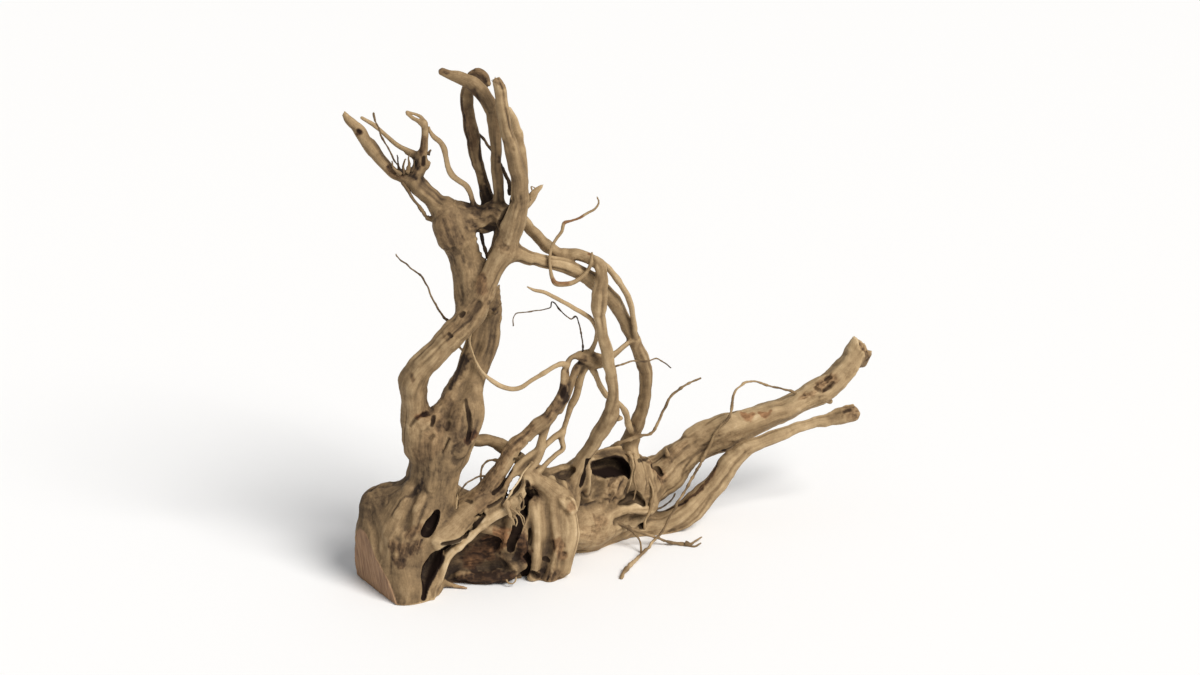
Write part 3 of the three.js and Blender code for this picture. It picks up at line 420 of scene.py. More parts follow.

# Dents eaten in from the skin: [across, up, how far behind the skin, radius] stations, and the darkness of
# the painted shade inside them
DENTS = [
    ([[137, 87, 1, 2.8], [134, 81, 2, 4.8], [130, 75, 2.4, 5.4], [126, 68, 2, 4.4]], 1.0),
    ([[135, 83, 6, 3], [131, 76, 7, 4]], 1.0),
    ([[148, 53, 1, 4], [142, 48, 2, 6.4], [135, 40, 3, 8.6], [130, 31, 3.4, 9], [127, 21, 2, 6],
      [125, 11, 1, 3.2], [124, 2, 0.4, 2]], 1.0),
    ([[143, 56, 0, 1.4], [159, 59, 0, 1.7], [167, 67, 0.4, 2], [177, 77, 0.4, 1.9],
      [184, 85, 0, 1.4]], 0.9),
    ([[228, 112, 1, 3], [226, 100, 2, 5], [222, 86, 3, 5.4], [217, 72, 3, 4.6], [212, 58, 2, 3.6],
      [211, 50, 1.4, 3]], 0.95),
    ([[226, 48, 3, 3], [226, 38, 4, 3.6], [225, 22, 3, 3.2]], 0.95),
    ([[166, 201, -0.6, 0.7], [167, 194, -0.2, 1], [169, 186, 0.2, 1.5], [170, 176, 0.4, 1.7],
      [169, 165, 0.3, 1.5], [168, 159, -0.3, 1]], 0.75),
    ([[134, 183, 0, 1.3], [133, 179, 0.4, 1.9], [132, 175, 0, 1.4]], 0.8),
    ([[149, 161, 0, 1.4], [146, 155, 0.4, 1.8], [143, 149, 0, 1.2]], 0.6),
    ([[148, 176, 0, 1.6], [147, 171, 0, 1.7]], 0.4),
    ([[133, 164, 0, 2], [131, 162, 0, 2]], 0.4),
    ([[128, 187, -1, 2], [121, 184, 0, 1.6], [115, 180, 0, 1.2], [111, 175, 0, 1]], 0.55),
    ([[210, 399, 0, 2], [207, 391, 1.4, 2.8], [203, 382, 1.4, 2.8], [199, 375, 0, 2.2]], 0.75),
    ([[294, 133, 3, 6], [299, 132, 7, 9], [307, 133, 8, 10.5], [316, 134, 8, 10.5], [322, 130, 7, 8]], 1.0),
    ([[324, 134, 5, 5], [327, 125, 4, 4]], 0.9),
    ([[299, 122, -3, 8], [301, 114, -6, 10], [300, 104, -8, 10]], 0.3),
    ([[288, 140, 1, 2.2], [284, 127, 2.4, 3.8], [281, 116, 2, 3]], 0.97),
    ([[320, 97, 0, 3.4], [327, 99, 0.6, 5], [334, 103, 1, 6], [342, 97, 0.4, 4]], 0.55),
    ([[318, 78, -2, 4], [330, 79, -2, 6.4], [341, 79, -2, 6.4], [347, 83, -2, 4]], 0.3),
    ([[526, 221, -0.4, 1.3], [530, 223, -0.4, 1.3]], 0.5),
    ([[516, 212, -0.6, 1.1], [520, 210, -0.5, 1.2]], 0.4),
    ([[524, 210, -0.5, 1.1], [529, 213, -0.3, 1.9], [533, 217, -0.4, 1.4]], 0.6),
    ([[353, 134, -0.4, 2], [357, 131, 0, 2.6], [361, 125, -0.4, 2]], 0.45),
    ([[338, 139, 0, 1.2], [347, 142, 0, 1.3]], 0.7),
    ([[233, 27, 1, 2.8], [237, 24, 1, 2.8]], 0.85),
    ([[227, 118, 0, 1.2], [229, 113, 0, 1.4]], 0.8),
    ([[231, 109, 0, 1.3], [232, 106, 0, 1.2]], 0.7),
    ([[245, 41, 0, 1.4], [247, 39, 0, 1.2]], 0.8),
    ([[247, 98, -5, 6.5], [249, 84, -4.6, 7.5], [250, 66, -5, 8], [247, 48, -5.4, 7]], 0.05),
    ([[264, 84, -4, 5], [262, 70, -4, 5.4], [262, 56, -4.4, 5]], 0.05),
    ([[161, 285, 0, 1.6], [163, 287, 0, 1.4]], 0.8),
    ([[179, 296, -0.6, 1.4], [173, 290, -0.4, 1.8], [166, 281, -0.6, 1.4]], 0.1),
    ([[149, 266, 0, 1], [151, 264, 0.2, 1]], 0.7),
    ([[212, 132, 0, 1.2], [208, 125, 0.6, 1.8], [200, 113, 0.8, 2], [194, 107, 0, 1.4]], 0.85),
    ([[229, 158, 0, 1], [221, 149, 0.4, 1.5], [214, 141, 0, 1.2]], 0.8),
    ([[202, 101, 0, 1.2], [196, 97, 0.3, 1.6], [189, 93, 0, 1]], 0.7),
    ([[155, 106, 0, 1.4], [156, 99, 0.6, 2], [157, 92, 0, 1.2]], 0.85),
    ([[167, 99, 0, 1.6], [171, 98, 0, 1.6]], 0.6),
    ([[544, 188, -0.3, 1.2], [550, 190, -0.3, 1.2]], 0.5),
    ([[70, 86, -2.4, 5], [76, 66, -2.4, 6], [78, 44, -2.4, 5]], 0.0),
    ([[112, 104, -3, 6], [108, 88, -3, 7], [104, 72, -3.4, 6]], 0.0),
]

# Stains along lines laid on the skin, and a few lines of painted shade between limbs: [across, up, radius]
# stations, darkness, roughness, redness
SPOTS = [
    ([[92, 54, 6], [104, 50, 8], [118, 54, 6]], 0.16, 0.9, 0.3),
    ([[96, 40, 5], [101, 38, 6]], 0.25, 1.0, 0.3),
    ([[110, 66, 6], [120, 72, 6]], 0.15, 0.5, 0.3),
    ([[64, 100, 6], [80, 106, 5], [100, 107, 4]], 0.06, 0.4, 0.0),
    ([[120, 118, 4], [117, 108, 4]], 0.15, 0.8, 0.0),
    ([[146, 378, 12], [150, 360, 13]], 0.1, 0.6, 0.1),
    ([[168, 376, 7], [176, 372, 6]], 0.25, 1.0, 0.1),
    ([[160, 345, 14], [168, 325, 13], [176, 305, 11]], 0.06, 0.4, 0.0),
    ([[170, 395, 8], [190, 385, 12], [198, 372, 10]], 0.1, 0.6, 0.1),
    ([[192, 362, 7], [205, 352, 8]], 0.08, 0.7, 0.1),
    ([[180, 318, 6], [182, 300, 12], [166, 283, 9], [150, 266, 8]], 0.08, 0.4, 0.1),
    ([[182, 322, 5], [181, 310, 6]], 0.3, 0.6, 0.4),
    ([[168, 528, 5], [178, 530, 8], [186, 522, 6]], 0.2, 1.0, 0.2),
    ([[441, 186, 2.2], [447, 182, 4.4], [453, 186, 2.2]], 0.34, 0.4, 0.8),
    ([[460, 187, 2], [465, 184, 3.6], [471, 189, 2]], 0.34, 0.4, 0.8),
    ([[500, 201, 3], [506, 205, 4], [513, 207, 4]], 0.22, 1.0, 0.3),
    ([[517, 213, 3], [524, 210, 3.4], [531, 215, 3], [535, 220, 2.4]], 0.22, 0.8, 0.3),
    ([[526, 223, 2.6], [531, 225, 2.4]], 0.2, 0.8, 0.3),
    ([[544, 188, 2.2], [551, 190, 2.6]], 0.25, 0.8, 0.2),
    ([[265, 378, 2.6], [273, 380, 2.6], [281, 384, 2.4]], 0.3, 0.5, 0.9),
    ([[253, 320, 2.4], [258, 317, 2.6], [268, 317, 2.2]], 0.25, 0.5, 0.8),
    ([[291, 350, 2.2], [289, 345, 2]], 0.3, 0.5, 0.9),
    ([[518, 214, 5], [530, 220, 7]], 0.2, 1.0, 0.4),
    ([[352, 136, 6], [360, 124, 7]], 0.14, 1.0, 0.4),
    ([[366, 142, 6], [384, 154, 6]], 0.05, 0.6, 0.1),
    ([[172, 42, 12], [190, 54, 14], [205, 64, 11]], 0.05, 0.9, 0.9),
    # dark red inner bark, deepened with painted shade near the floor
    ([[151, 12, 8], [162, 16, 10], [180, 20, 12], [215, 18, 11]], 0.4, 0.8, 0.7),
    # dark red bark, deepened with painted shade along the slit between wall and leg
    ([[222, 60, 8], [226, 30, 7]], 0.45, 0.8, 0.8),
    ([[318, 116, 10], [314, 104, 9]], 0.0, 1.0, 0.1),
    ([[300, 78, 8]], 0.1, 0.8, 0.2),
    ([[286, 68, 9], [300, 62, 9]], 0.05, 0.3, 0.1),
    ([[126, 186, 9], [140, 176, 12], [134, 158, 12], [120, 142, 8]], 0.05, 0.4, 0.15),
    ([[146, 202, 7], [152, 190, 9], [158, 176, 9]], 0.1, 0.5, 0.1),
    ([[160, 158, 8], [152, 170, 8]], 0.1, 0.5, 0.1),
    # painted shade where the right limb passes behind the left one
    ([[163, 240, 7], [158, 228, 6], [150, 212, 3]], 0.8, 0.4, 0.1),
    # painted reddish shade in the crotch of the two limbs
    ([[124, 186, 4], [118, 184, 4]], 0.4, 0.3, 1.0),
    ([[174, 166, 5], [168, 160, 5]], 0.4, 0.6, 1.0),
    ([[112, 225, 3], [113, 220, 3]], 0.35, 0.3, 0.2),
    ([[103, 240, 2], [103, 239, 2]], 0.3, 0.3, 0.2),
    ([[240, 26, 9], [256, 24, 9]], 0.08, 1.0, 0.2),
    ([[229, 114, 6], [236, 104, 7]], 0.1, 1.0, 0.2),
    ([[256, 56, 7], [262, 44, 6]], 0.12, 0.9, 0.5),
    ([[271, 93, 6]], 0.12, 0.9, 0.4),
    ([[205, 150, 8], [188, 120, 8], [176, 104, 8]], 0.08, 0.7, 0.2),
    ([[230, 172, 6], [212, 152, 7]], 0.1, 0.8, 0.2),
    ([[210, 126, 6], [194, 106, 8], [180, 92, 6]], 0.06, 0.6, 0.2),
    ([[262, 212, 6], [266, 200, 6]], 0.5, 0.9, 0.3),
    ([[256, 196, 7], [246, 184, 7]], 0.12, 0.8, 0.2),
    ([[270, 228, 5], [284, 240, 5]], 0.2, 0.9, 0.2),
    ([[100, 424, 6], [90, 431, 5]], 0.3, 0.8, 0.4),
    ([[59, 468, 3]], 0.5, 0.5, 0.8),
    ([[112, 424, 6], [118, 436, 5]], 0.2, 1.0, 0.2),
    ([[121, 448, 4], [124, 462, 4]], 0.25, 0.8, 0.3),
    ([[548, 190, 8], [556, 186, 8]], 0.12, 0.8, 0.2),
    # painted shade in the gap along the low branch's top, under the long branch
    ([[424, 150, 2.4], [414, 128, 2.4], [400, 110, 2.4], [384, 99, 2.4], [366, 91, 2.6]], 0.75, 0.6, 0.6),
    ([[560, 256, 3], [566, 249, 4], [568, 243, 4]], 0.25, 1.0, 0.2),
    ([[160, 499, 5], [165, 480, 8], [172, 456, 8]], 0.22, 0.4, 0.3),
    ([[182, 410, 8], [190, 400, 7]], 0.4, 0.6, 0.2),
    # painted shade in the gap between the hooked and the front prong
    ([[200, 440, 3], [203, 458, 3]], 0.3, 0.3, 0.1),
    ([[174, 508, 5], [176, 490, 5], [180, 462, 4.4], [184, 435, 5], [192, 402, 6]], 0.5, 0.2, 0.2),
    ([[190, 395, 5], [184, 412, 5]], 0.4, 0.4, 0.2),
    ([[155, 508, 6], [166, 512, 6]], 0.16, 0.7, 0.1),
    ([[193, 371, 4], [186, 371, 3.4]], 0.7, 0.5, 0.0),
    ([[190, 297, 3], [194, 289, 4]], 0.6, 0.5, 0.1),
    ([[146, 529, 4], [138, 530, 4]], 0.2, 0.6, 0.2),
    ([[202, 516, 5], [196, 520, 4]], 0.35, 0.8, 0.1),
    ([[206, 490, 2.4], [210, 470, 2.4], [214, 450, 2]], 0.14, 0.3, 0.0),
    ([[86, 330, 2], [88, 322, 2]], 0.2, 0.2, 0.0),
]

# The sawn face on the left of the foot: its front corner, its turn and lean, and how far up it reaches
SAW_CORNER = [95, -5, -91]
SAW_TURN = math.radians(-55)
SAW_LEAN = math.radians(7)
SAW_TOP, SAW_MARKS_TOP = 200, 130


def finer(stations, share):
    """The same stations with smaller radii."""
    return [[across, up, back, radius * share] for across, up, back, radius in stations]


def limb(node, stations, tone=0.55, fuse=3, torn=(0, 0), lobes=0.04, then=None, on_skin=False):
    """A length of wood: the solid it belongs to, its stations, how pale it is, how softly it grows
    into its neighbours, how deeply its two ends are torn, how far it is from round, the solid that
    it belongs to from some station on, and whether its depth is measured from the skin."""
    return {"node": node, "stations": stations, "tone": tone, "fuse": fuse, "torn": torn, "lobes": lobes,
            "then": then, "on_skin": on_skin}


# Limbs that are thick enough to be filled into the field
FILLED = [
    limb("trunk_foot", FOOT_CORE, 0.47, 12),
    limb("trunk_foot", FOOT_SHOULDER, 0.43, 14),
    limb("trunk_foot", SHOULDER_ROOT, 0.43, 9),
    limb("left_limb", LEFT_LIMB + FRONT_PRONG, 0.55, 9, torn=(0, 3), then=("front_prong", len(LEFT_LIMB))),
    limb("right_limb", RIGHT_LIMB, 0.46, 10, torn=(0, 5), lobes=0.08),
    limb("upper_trunk", UPPER_TRUNK, 0.52, 9, lobes=0.05),
    limb("upper_trunk", CROWN_PLATE, 0.54, 12, lobes=0.05),
    limb("upper_trunk", CROWN_WEB, 0.52, 9, lobes=0.05),
    limb("upper_trunk", CROWN_EDGE, 0.45, 5),
    limb("bark_wall", WALL_LOW, 0.36, 9, lobes=0.1),
    limb("bark_wall", WALL_HIGH, 0.4, 10, lobes=0.08),
    limb("bark_wall", WALL_TOP, 0.42, 8, lobes=0.08),
    limb("bark_wall", BACK_BUTTRESS, 0.5, 12),
    limb("bark_wall", BACK_SPUR, 0.5, 9),
    limb("bark_wall", WALL_ROOT_A, 0.4, 6),
    limb("bark_wall", WALL_ROOT_B, 0.25, 6),
    limb("middle_leg", MIDDLE_LEG, 0.51, 8, lobes=0.08),
    limb("middle_leg", LEG_STRUT, 0.6, 5),
    limb("base_root", BASE_ROOT[:-1] + LONG_BRANCH, 0.68, 10, torn=(0, 4), lobes=0.05,
         then=("long_branch", len(BASE_ROOT) - 1)),
    limb("base_root", UNDER_ROOT[:-1] + LOW_BRANCH, 0.66, 6, torn=(0, 3), lobes=0.05,
         then=("low_branch", len(UNDER_ROOT) - 1)),
    limb("base_root", HOLLOW_STUMP, 0.5, 9, lobes=0.06),
    limb("base_root", BACK_ROOT, 0.5, 12),
    limb("long_branch", BRANCH_KNOT, 0.6, 6),
    limb("long_branch", BRANCH_LUMP, 0.5, 3),
    limb("long_branch", BRANCH_CORNER, 0.6, 6, lobes=0.1),
    limb("long_branch", BRANCH_BARK, 0.4, 6, torn=(0, 2), lobes=0.16),
    limb("long_branch", BRANCH_THORN, 0.5, 3),
    limb("arch_top", ARCH_TOP + ARCH_LEG[1:], 0.57, 6, then=("arch_leg", len(ARCH_TOP))),
    limb("base_root", ARCH_BRACE, 0.66, 6),
    limb("base_root", HEEL_FACE, 0.6, 10),
    limb("base_root", HEEL_WALL, 0.48, 9),
    limb("base_root", HEEL_RIM, 0.5, 4, lobes=0.16),
    limb("upper_root", UPPER_ROOT + FRONT_RIB, 0.55, 5, then=("front_rib", len(UPPER_ROOT))),
    limb("front_rib", RIB_KNOB, 0.5, 3),
    limb("front_prong", BACK_PRONG, 0.6, 3),
    limb("front_prong", CROWN_STUB, 0.6, 4, torn=(0, 3)),
    limb("hooked_prong", HOOKED_PRONG, 0.35, 4, torn=(0, 2)),
    limb("brown_prong", BROWN_PRONG, 0.36, 4),
    limb("brown_prong", CROWN_BURR, 0.36, 3, lobes=0.2),
    limb("left_fork", LEFT_FORK + BROKEN_TINE[1:], 0.47, 7, torn=(0, 5),
         then=("broken_tine", len(LEFT_FORK))),
    limb("left_fork", FORK_LUMP, 0.35, 2.5),
    limb("upright_tine", UPRIGHT_TINE, 0.44, 4),
    limb("upright_tine", TINE_LOOP_LOW, 0.4, 1.5),
    limb("upright_tine", TINE_LOOP_HIGH, 0.4, 1.5),
    limb("side_tine", SIDE_TINE, 0.44, 2.5),
    limb("side_tine", TINE_WEB, 0.45, 2.5),
    limb("root_knot", ROOT_KNOT, 0.45, 3, lobes=0.1),
    limb("outer_rib", OUTER_RIB, 0.6, 2.5),
    limb("braid_left", BRAID_LEFT, 0.45, 5, lobes=0.1),
    limb("braid_low", BRAID_LOW, 0.48, 3, lobes=0.08),
    limb("braid_middle", BRAID_MIDDLE, 0.4, 2.5, lobes=0.08),
    limb("braid_right", BRAID_RIGHT, 0.45, 2.5, lobes=0.08),
    limb("braid_link", BRAID_LINK, 0.48, 3, lobes=0.08),
    limb("torn_strap", FLAP, 0.55, 7, lobes=0.05),
    limb("torn_strap", TORN_RIM, 0.72, 4, lobes=0.1),
    limb("bridge_root", BRIDGE_ROOT, 0.5, 5),
    limb("slanting_root", SLANTING_ROOT, 0.5, 2.2),
    limb("crown_twig", CROWN_TWIG, 0.42, 3),
    limb("loop_twig", finer(LOOP_TWIG, 0.8), 0.4, 2),
    limb("pointed_twig", finer(POINTED_TWIG, 0.88), 0.5, 2.4),
    limb("sagging_twig", TWIG_START + finer(SAGGING_TWIG, 0.88), 0.5, 2.4),
    limb("base_root", TORN_CHUNK, 0.62, 3, lobes=0.14),
    limb("middle_leg", LEG_RIDGE, 0.68, 4, on_skin=True),
    limb("middle_leg", LEG_EDGE, 0.64, 4, lobes=0.1, on_skin=True),
    limb("middle_leg", LEG_KNOB, 0.6, 3, lobes=0.1, on_skin=True),
    limb("middle_leg", LEG_FOLD_LOW, 0.62, 5, lobes=0.1, on_skin=True),
    limb("trunk_foot", TORN_LIP, 0.78, 2, lobes=0.1, on_skin=True),
    limb("torn_strap", PALE_LIP, 0.8, 3, lobes=0.1, on_skin=True),
    limb("bark_wall", WALL_RIB, 0.5, 5, lobes=0.1, on_skin=True),
    limb("bark_wall", WALL_LUMP, 0.35, 4, lobes=0.16, on_skin=True),
    limb("bark_wall", SLIT_ROOT, 0.4, 4, on_skin=True),
    limb("right_limb", TRUNK_BULGE, 0.42, 3, lobes=0.16, on_skin=True),
    limb("trunk_foot", FOOT_FACET, 0.6, 7, on_skin=True),
    limb("right_limb", LIMB_WEB, 0.5, 6, on_skin=True),
    limb("right_limb", TRUNK_FLANGE, 0.5, 4, on_skin=True),
    limb("base_root", HEEL_STRIP, 0.7, 2, on_skin=True),
    limb("base_root", HEEL_RIDGE, 0.7, 4, on_skin=True),
    limb("foot_splinter", FOOT_SPLINTER, 0.5, 2),
]

# Splinters and hairs of the torn places
FORK_SPLINTERS = [
    [[99, 426, -14, 1.4], [98, 434, -14, 0.9], [98, 442, -14, 0.7], [97, 445, -14, 0.5]],
    [[103, 427, -12, 1.4], [104, 435, -12, 0.9], [106, 441, -13, 0.6]],
    [[107, 428, -12, 1.6], [109, 436, -12, 1], [109, 443, -13, 0.7], [111, 447, -13, 0.5]],
    [[112, 429, -10, 1.6], [114, 436, -11, 1], [114, 442, -11, 0.6]],
    [[100, 426, -16, 1.2], [93, 433, -18, 0.7], [92, 439, -18, 0.5]],
    [[128, 446, -7, 1.2], [131, 450, -7, 0.7]],
]
TORN_HAIRS = [
    [[206, 97, -46, 2.2], [209, 89, -50, 1.7], [212, 81, -52, 1.4], [214, 75, -52, 0.8]],
    [[210, 92, -48, 1], [216, 88, -50, 0.7], [221, 83, -51, 0.6], [223, 76, -51, 0.5], [228, 71, -50, 0.4]],
    [[213, 84, -51, 0.8], [217, 80, -52, 0.6], [216, 74, -52, 0.4]],
    [[220, 106, -42, 0.9], [224, 99, -46, 0.7], [223, 92, -48, 0.6], [219, 88, -49, 0.6],
     [224, 82, -50, 0.5], [223, 75, -50, 0.4]],
    [[217, 92, -48, 0.7], [222, 90, -49, 0.5], [225, 94, -49, 0.4]],
    [[206, 22, -49, 1], [208, 18, -53, 0.9], [211, 16, -54, 0.8], [214, 18, -53, 0.8], [216, 23, -49, 0.7]],
]
HEEL_HAIRS = [
    [[329, 148, 52, 1.4], [333, 137, 44, 1.1], [332, 126, 40, 1], [330, 116, 38, 0.8], [327, 107, 36, 0.6]],
    [[334, 146, 54, 1.4], [336, 134, 45, 1.1], [334, 122, 41, 1], [336, 110, 40, 0.8], [333, 100, 38, 0.6]],
]
CROWN_HAIRS = [
    [[228, 400, -22, 1], [232, 408, -22, 0.8], [231, 413, -22, 0.7], [235, 412, -22, 0.6]],
]
WINDOW_TWIG = [[180, 372, -10, 2.2], [182, 362, -12, 1.8], [184, 352, -13, 1.8], [188, 342, -14, 2.2]]
BARK_TWIG = [[153, 112, -30, 1], [157, 104, -40, 1.3], [156, 94, -52, 1.3], [155, 83, -58, 0.9]]
WHITE_STRAW = [
    [232, 138, -27, 0.8], [224, 128, -34, 0.9], [215, 114, -42, 0.9], [208, 102, -47, 0.9],
    [205, 97, -48, 0.6],
]

# Hair-fine roots and twigs, which are tubes of their own: solid, stations, share of their radius, tone
FINE_ROUTES = [
    ("dark_twig", DARK_TWIG, 0.7, 0.15),
    ("hair_root", HAIR_ROOT, 0.85, 0.2),
    ("reaching_twig", REACHING_TWIG, 0.8, 0.3),
    ("floor_root", FLOOR_ROOT, 0.8, 0.45),
    ("floor_root", FLOOR_ROOT_FORK, 1, 0.35),
    ("floor_root", FLOOR_TWIG, 0.7, 0.5),
    ("hanging_root", HANGING_ROOT, 0.85, 0.55),
    ("back_twig", BACK_TWIG, 0.7, 0.36),
    ("rising_twig", RISING_TWIG, 0.8, 0.5),
    ("side_twig", SIDE_TWIG, 0.65, 0.28),
    ("loop_root", LOOP_ROOT, 0.8, 0.35),
    ("loop_root", LOW_HAIR, 0.8, 0.35),
    ("cross_twig", CROSS_TWIG, 0.8, 0.12),
    ("side_strand", SIDE_STRAND, 1, 0.4),
    ("draping_root", DRAPING_ROOT, 0.68, 0.5),
    ("right_limb", HOOK_SPLINTER, 1, 0.4),
    ("upper_trunk", WINDOW_TWIG, 1, 0.1),
    ("trunk_foot", BARK_TWIG, 1, 0.7),
    ("braid_low", WHITE_STRAW, 1, 0.75),
]
FINE_GROUPS = [
    ("left_fork", FORK_SPLINTERS, 0.35),
    ("torn_strap", TORN_HAIRS, 0.6),
    ("base_root", HEEL_HAIRS, 0.6),
    ("upper_trunk", CROWN_HAIRS, 0.5),
]
FINE = [limb(node, finer(stations, share), tone) for node, stations, share, tone in FINE_ROUTES]
FINE += [limb(node, stations, tone) for node, group, tone in FINE_GROUPS for stations in group]

# The pieces that the skin is shown in, and the solids that each one stands for
PIECES = {
    "stump": ["trunk_foot", "foot_splinter"],
    "trunk_limbs": ["left_limb", "right_limb", "upper_trunk"],
    "crown": ["front_prong", "hooked_prong", "brown_prong", "left_fork", "broken_tine", "upright_tine",
              "side_tine", "crown_twig"],
    "arch": ["arch_leg", "arch_top", "upper_root", "outer_rib", "front_rib", "root_knot", "slanting_root",
             "loop_twig", "pointed_twig", "sagging_twig"],
    "braid": ["braid_left", "braid_low", "braid_middle", "braid_right", "braid_link", "torn_strap",
              "bridge_root"],
    "base": ["bark_wall", "middle_leg"],
    "heel": ["base_root"],
    "side_branches": ["long_branch", "low_branch"],
}
FINE_PIECE = "fine_twigs"


# Placing

def place(stations):
    """Stations' places in the part's frame, in millimetres, and how much larger each is there."""
    across, up, back = np.array(stations, float)[:, :3].T
    rise = up - AIM_UP
    reach = EYE_DISTANCE * math.cos(SIGHT_TILT)
    scale = (back + reach) / (reach + rise * math.sin(SIGHT_TILT))
    x = scale * (across - AIM_ACROSS) - MIDDLE[0]
    eye_height = AIM_HEIGHT + EYE_DISTANCE * math.sin(SIGHT_TILT)
    z = eye_height + scale * (rise * math.cos(SIGHT_TILT) - EYE_DISTANCE * math.sin(SIGHT_TILT))
    return np.stack([x, back - MIDDLE[1], z], axis=1), scale


def rounded_route(knots, spacing):
    """Points about spacing apart along a centripetal Catmull-Rom curve through knots, whose columns
    after the third ride along."""
    pad = np.vstack([2 * knots[0] - knots[1], knots, 2 * knots[-1] - knots[-2]])
    gaps = np.linalg.norm(np.diff(pad[:, :3], axis=0), axis=1) ** 0.5
    route = []
    for i in range(len(knots) - 1):
        a, b, c, d = pad[i:i + 4]
        ab, bc, cd = np.maximum(gaps[i:i + 3], 1e-3)
        start = bc * ((b - a) / ab - (c - a) / (ab + bc) + (c - b) / bc)
        end = bc * ((c - b) / bc - (d - b) / (bc + cd) + (d - c) / cd)
        count = max(1, int(math.ceil(np.linalg.norm(c[:3] - b[:3]) / spacing)))
        t = (np.arange(count) / count)[:, None]
        cubic = 2 * b - 2 * c + start + end
        square = -3 * b + 3 * c - 2 * start - end
        route.append(cubic * t ** 3 + square * t ** 2 + start * t + b)
    return np.vstack(route + [knots[-1:]])


def length_so_far(centre):
    """The length of a line up to each of its points."""
    steps = np.linalg.norm(np.diff(centre, axis=0), axis=1)
    return np.concatenate([[0], np.cumsum(steps)])


def directions(centre):
    """A line's direction at each point, and two cross directions that turn as little as they can."""
    along = np.gradient(centre, axis=0)
    along /= np.linalg.norm(along, axis=1)[:, None]
    side = np.empty_like(centre)
    last = FIRST_SIDE
    for i, way in enumerate(along):
        last = last - way * (last @ way)
        last = last / np.linalg.norm(last)
        side[i] = last
    return along, side, np.cross(along, side)


def trace(piece, seed):
    """A limb with its centre line, its radius, length and station number along it, and the line's
    directions."""
    places, scale = place(piece["stations"])
    radii = np.array(piece["stations"], float)[:, 3] * scale
    order = np.arange(len(places), dtype=float)
    spacing = float(np.clip(0.5 * radii.mean(), 2.5, 9))
    route = rounded_route(np.column_stack([places, radii, order]), spacing)
    centre, radius = route[:, :3], np.maximum(route[:, 3], 0.5)
    run = length_so_far(centre)
    if piece.get("crooked"):
        spots = np.column_stack([run / 8.0, np.full(len(run), seed * 3.3 + 0.5), np.zeros(len(run))])
        crook = np.column_stack([noise(spots + [0, 0, 9.5 * k], 80 + k) for k in range(3)])
        centre = centre + crook * np.clip(0.1 * radius, 0.2, 0.5)[:, None]
        knot = smooth_step(0.3, 0.85, noise(spots * [0.7, 1, 1], 90))
        thin = smooth_step(9, 5, radius)
        radius = radius * (1 + 0.04 * noise(spots * [0.4, 1, 1], 91) + 0.16 * knot * thin)
    _, side, other = directions(centre)
    traced = {"centre": centre, "radius": radius, "order": route[:, 4], "side": side, "other": other,
              "run": run, "seed": seed}
    return {**piece, **traced}


# Noise

def hashed(cell, seed):
    """A repeatable number from -1 to 1 for each whole-number cell."""
    with np.errstate(over="ignore"):
        h = cell[0] * np.uint32(374761393) + cell[1] * np.uint32(668265263)
        h = h + cell[2] * np.uint32(2246822519) + np.uint32(seed * 7919 + 17)
        h = (h ^ (h >> np.uint32(13))) * np.uint32(1274126177)
        h = (h ^ (h >> np.uint32(16))) * np.uint32(2246822519)
        h = h ^ (h >> np.uint32(15))
    return h.astype(np.float32) * np.float32(2 / 4294967295) - np.float32(1)


def noise(points, seed=0):
    """Smooth noise from about -1 to 1 at points, whose cells are one unit wide."""
    base = np.floor(points)
    f = (points - base).astype(np.float32)
    cell = base.astype(np.int64).astype(np.uint32).T
    w = f * f * (3 - 2 * f)
    total = np.zeros(len(points), np.float32)
    for bits in CORNERS:
        share = np.ones(len(points), np.float32)
        for k, bit in enumerate(bits):
            share *= w[:, k] if bit else 1 - w[:, k]
        total += share * hashed([cell[k] + np.uint32(bits[k]) for k in range(3)], seed)
    return total * 1.6


def smooth_step(low, high, value):
    """A smooth change from 0 at low to 1 at high, where low may also be the larger one."""
    t = np.clip((value - low) / (high - low), 0, 1)
    return t * t * (3 - 2 * t)


# The field

def sampled(values, spots):
    """A block's values at spots counted in voxels, mixed from the eight voxels around each."""
    base = np.clip(np.floor(spots).astype(int), 0, np.array(values.shape) - 2)
    f = np.clip(spots - base, 0, 1)
    found = np.zeros(len(spots))
    for bits in CORNERS:
        share = np.prod(np.where(bits, f, 1 - f), axis=1)
        found += share * values[tuple((base + bits).T)]
    return found


class Field:
    """Distance to the wood's skin in millimetres, negative inside, on a block of voxels."""

    def __init__(self, low, high):
        self.low = np.floor(low / VOXEL) * VOXEL
        self.shape = tuple(np.ceil((high - self.low) / VOXEL).astype(int) + 1)
        self.values = np.full(self.shape, FIELD_REACH, np.float32)

    def window(self, low, high):
        """The voxels between two corners, as slices, and their coordinates along each axis."""
        start = np.clip(np.floor((low - self.low) / VOXEL).astype(int), 0, self.shape)
        stop = np.clip(np.ceil((high - self.low) / VOXEL).astype(int) + 1, 0, self.shape)
        cuts = tuple(slice(a, b) for a, b in zip(start, stop))
        axes = [(self.low[k] + VOXEL * np.arange(start[k], stop[k])).astype(np.float32) for k in range(3)]
        return cuts, [axes[0][:, None, None], axes[1][None, :, None], axes[2][None, None, :]]

    def at(self, points):
        """The distance at each point."""
        return sampled(self.values, (points - self.low) / VOXEL)

    def lay_on_skin(self, stations):
        """Stations whose depths count from the skin, with their true depths. One that no skin lies
        behind takes over the skin's depth from the nearest one that found it."""
        laid, missed = [], []
        for across, up, behind, radius in stations:
            ray = place([[across, up, back, 0] for back in SIGHT_DEPTHS])[0]
            inside = np.nonzero(self.at(ray) < 0)[0]
            laid.append([across, up, behind + (SIGHT_DEPTHS[inside[0]] if len(inside) else 0), radius])
            missed.append(not len(inside))
        found = [i for i, miss in enumerate(missed) if not miss]
        for i, miss in enumerate(missed):
            if miss and found:
                nearest = min(found, key=lambda j: abs(j - i))
                laid[i][2] += laid[nearest][2] - stations[nearest][2]
        return laid


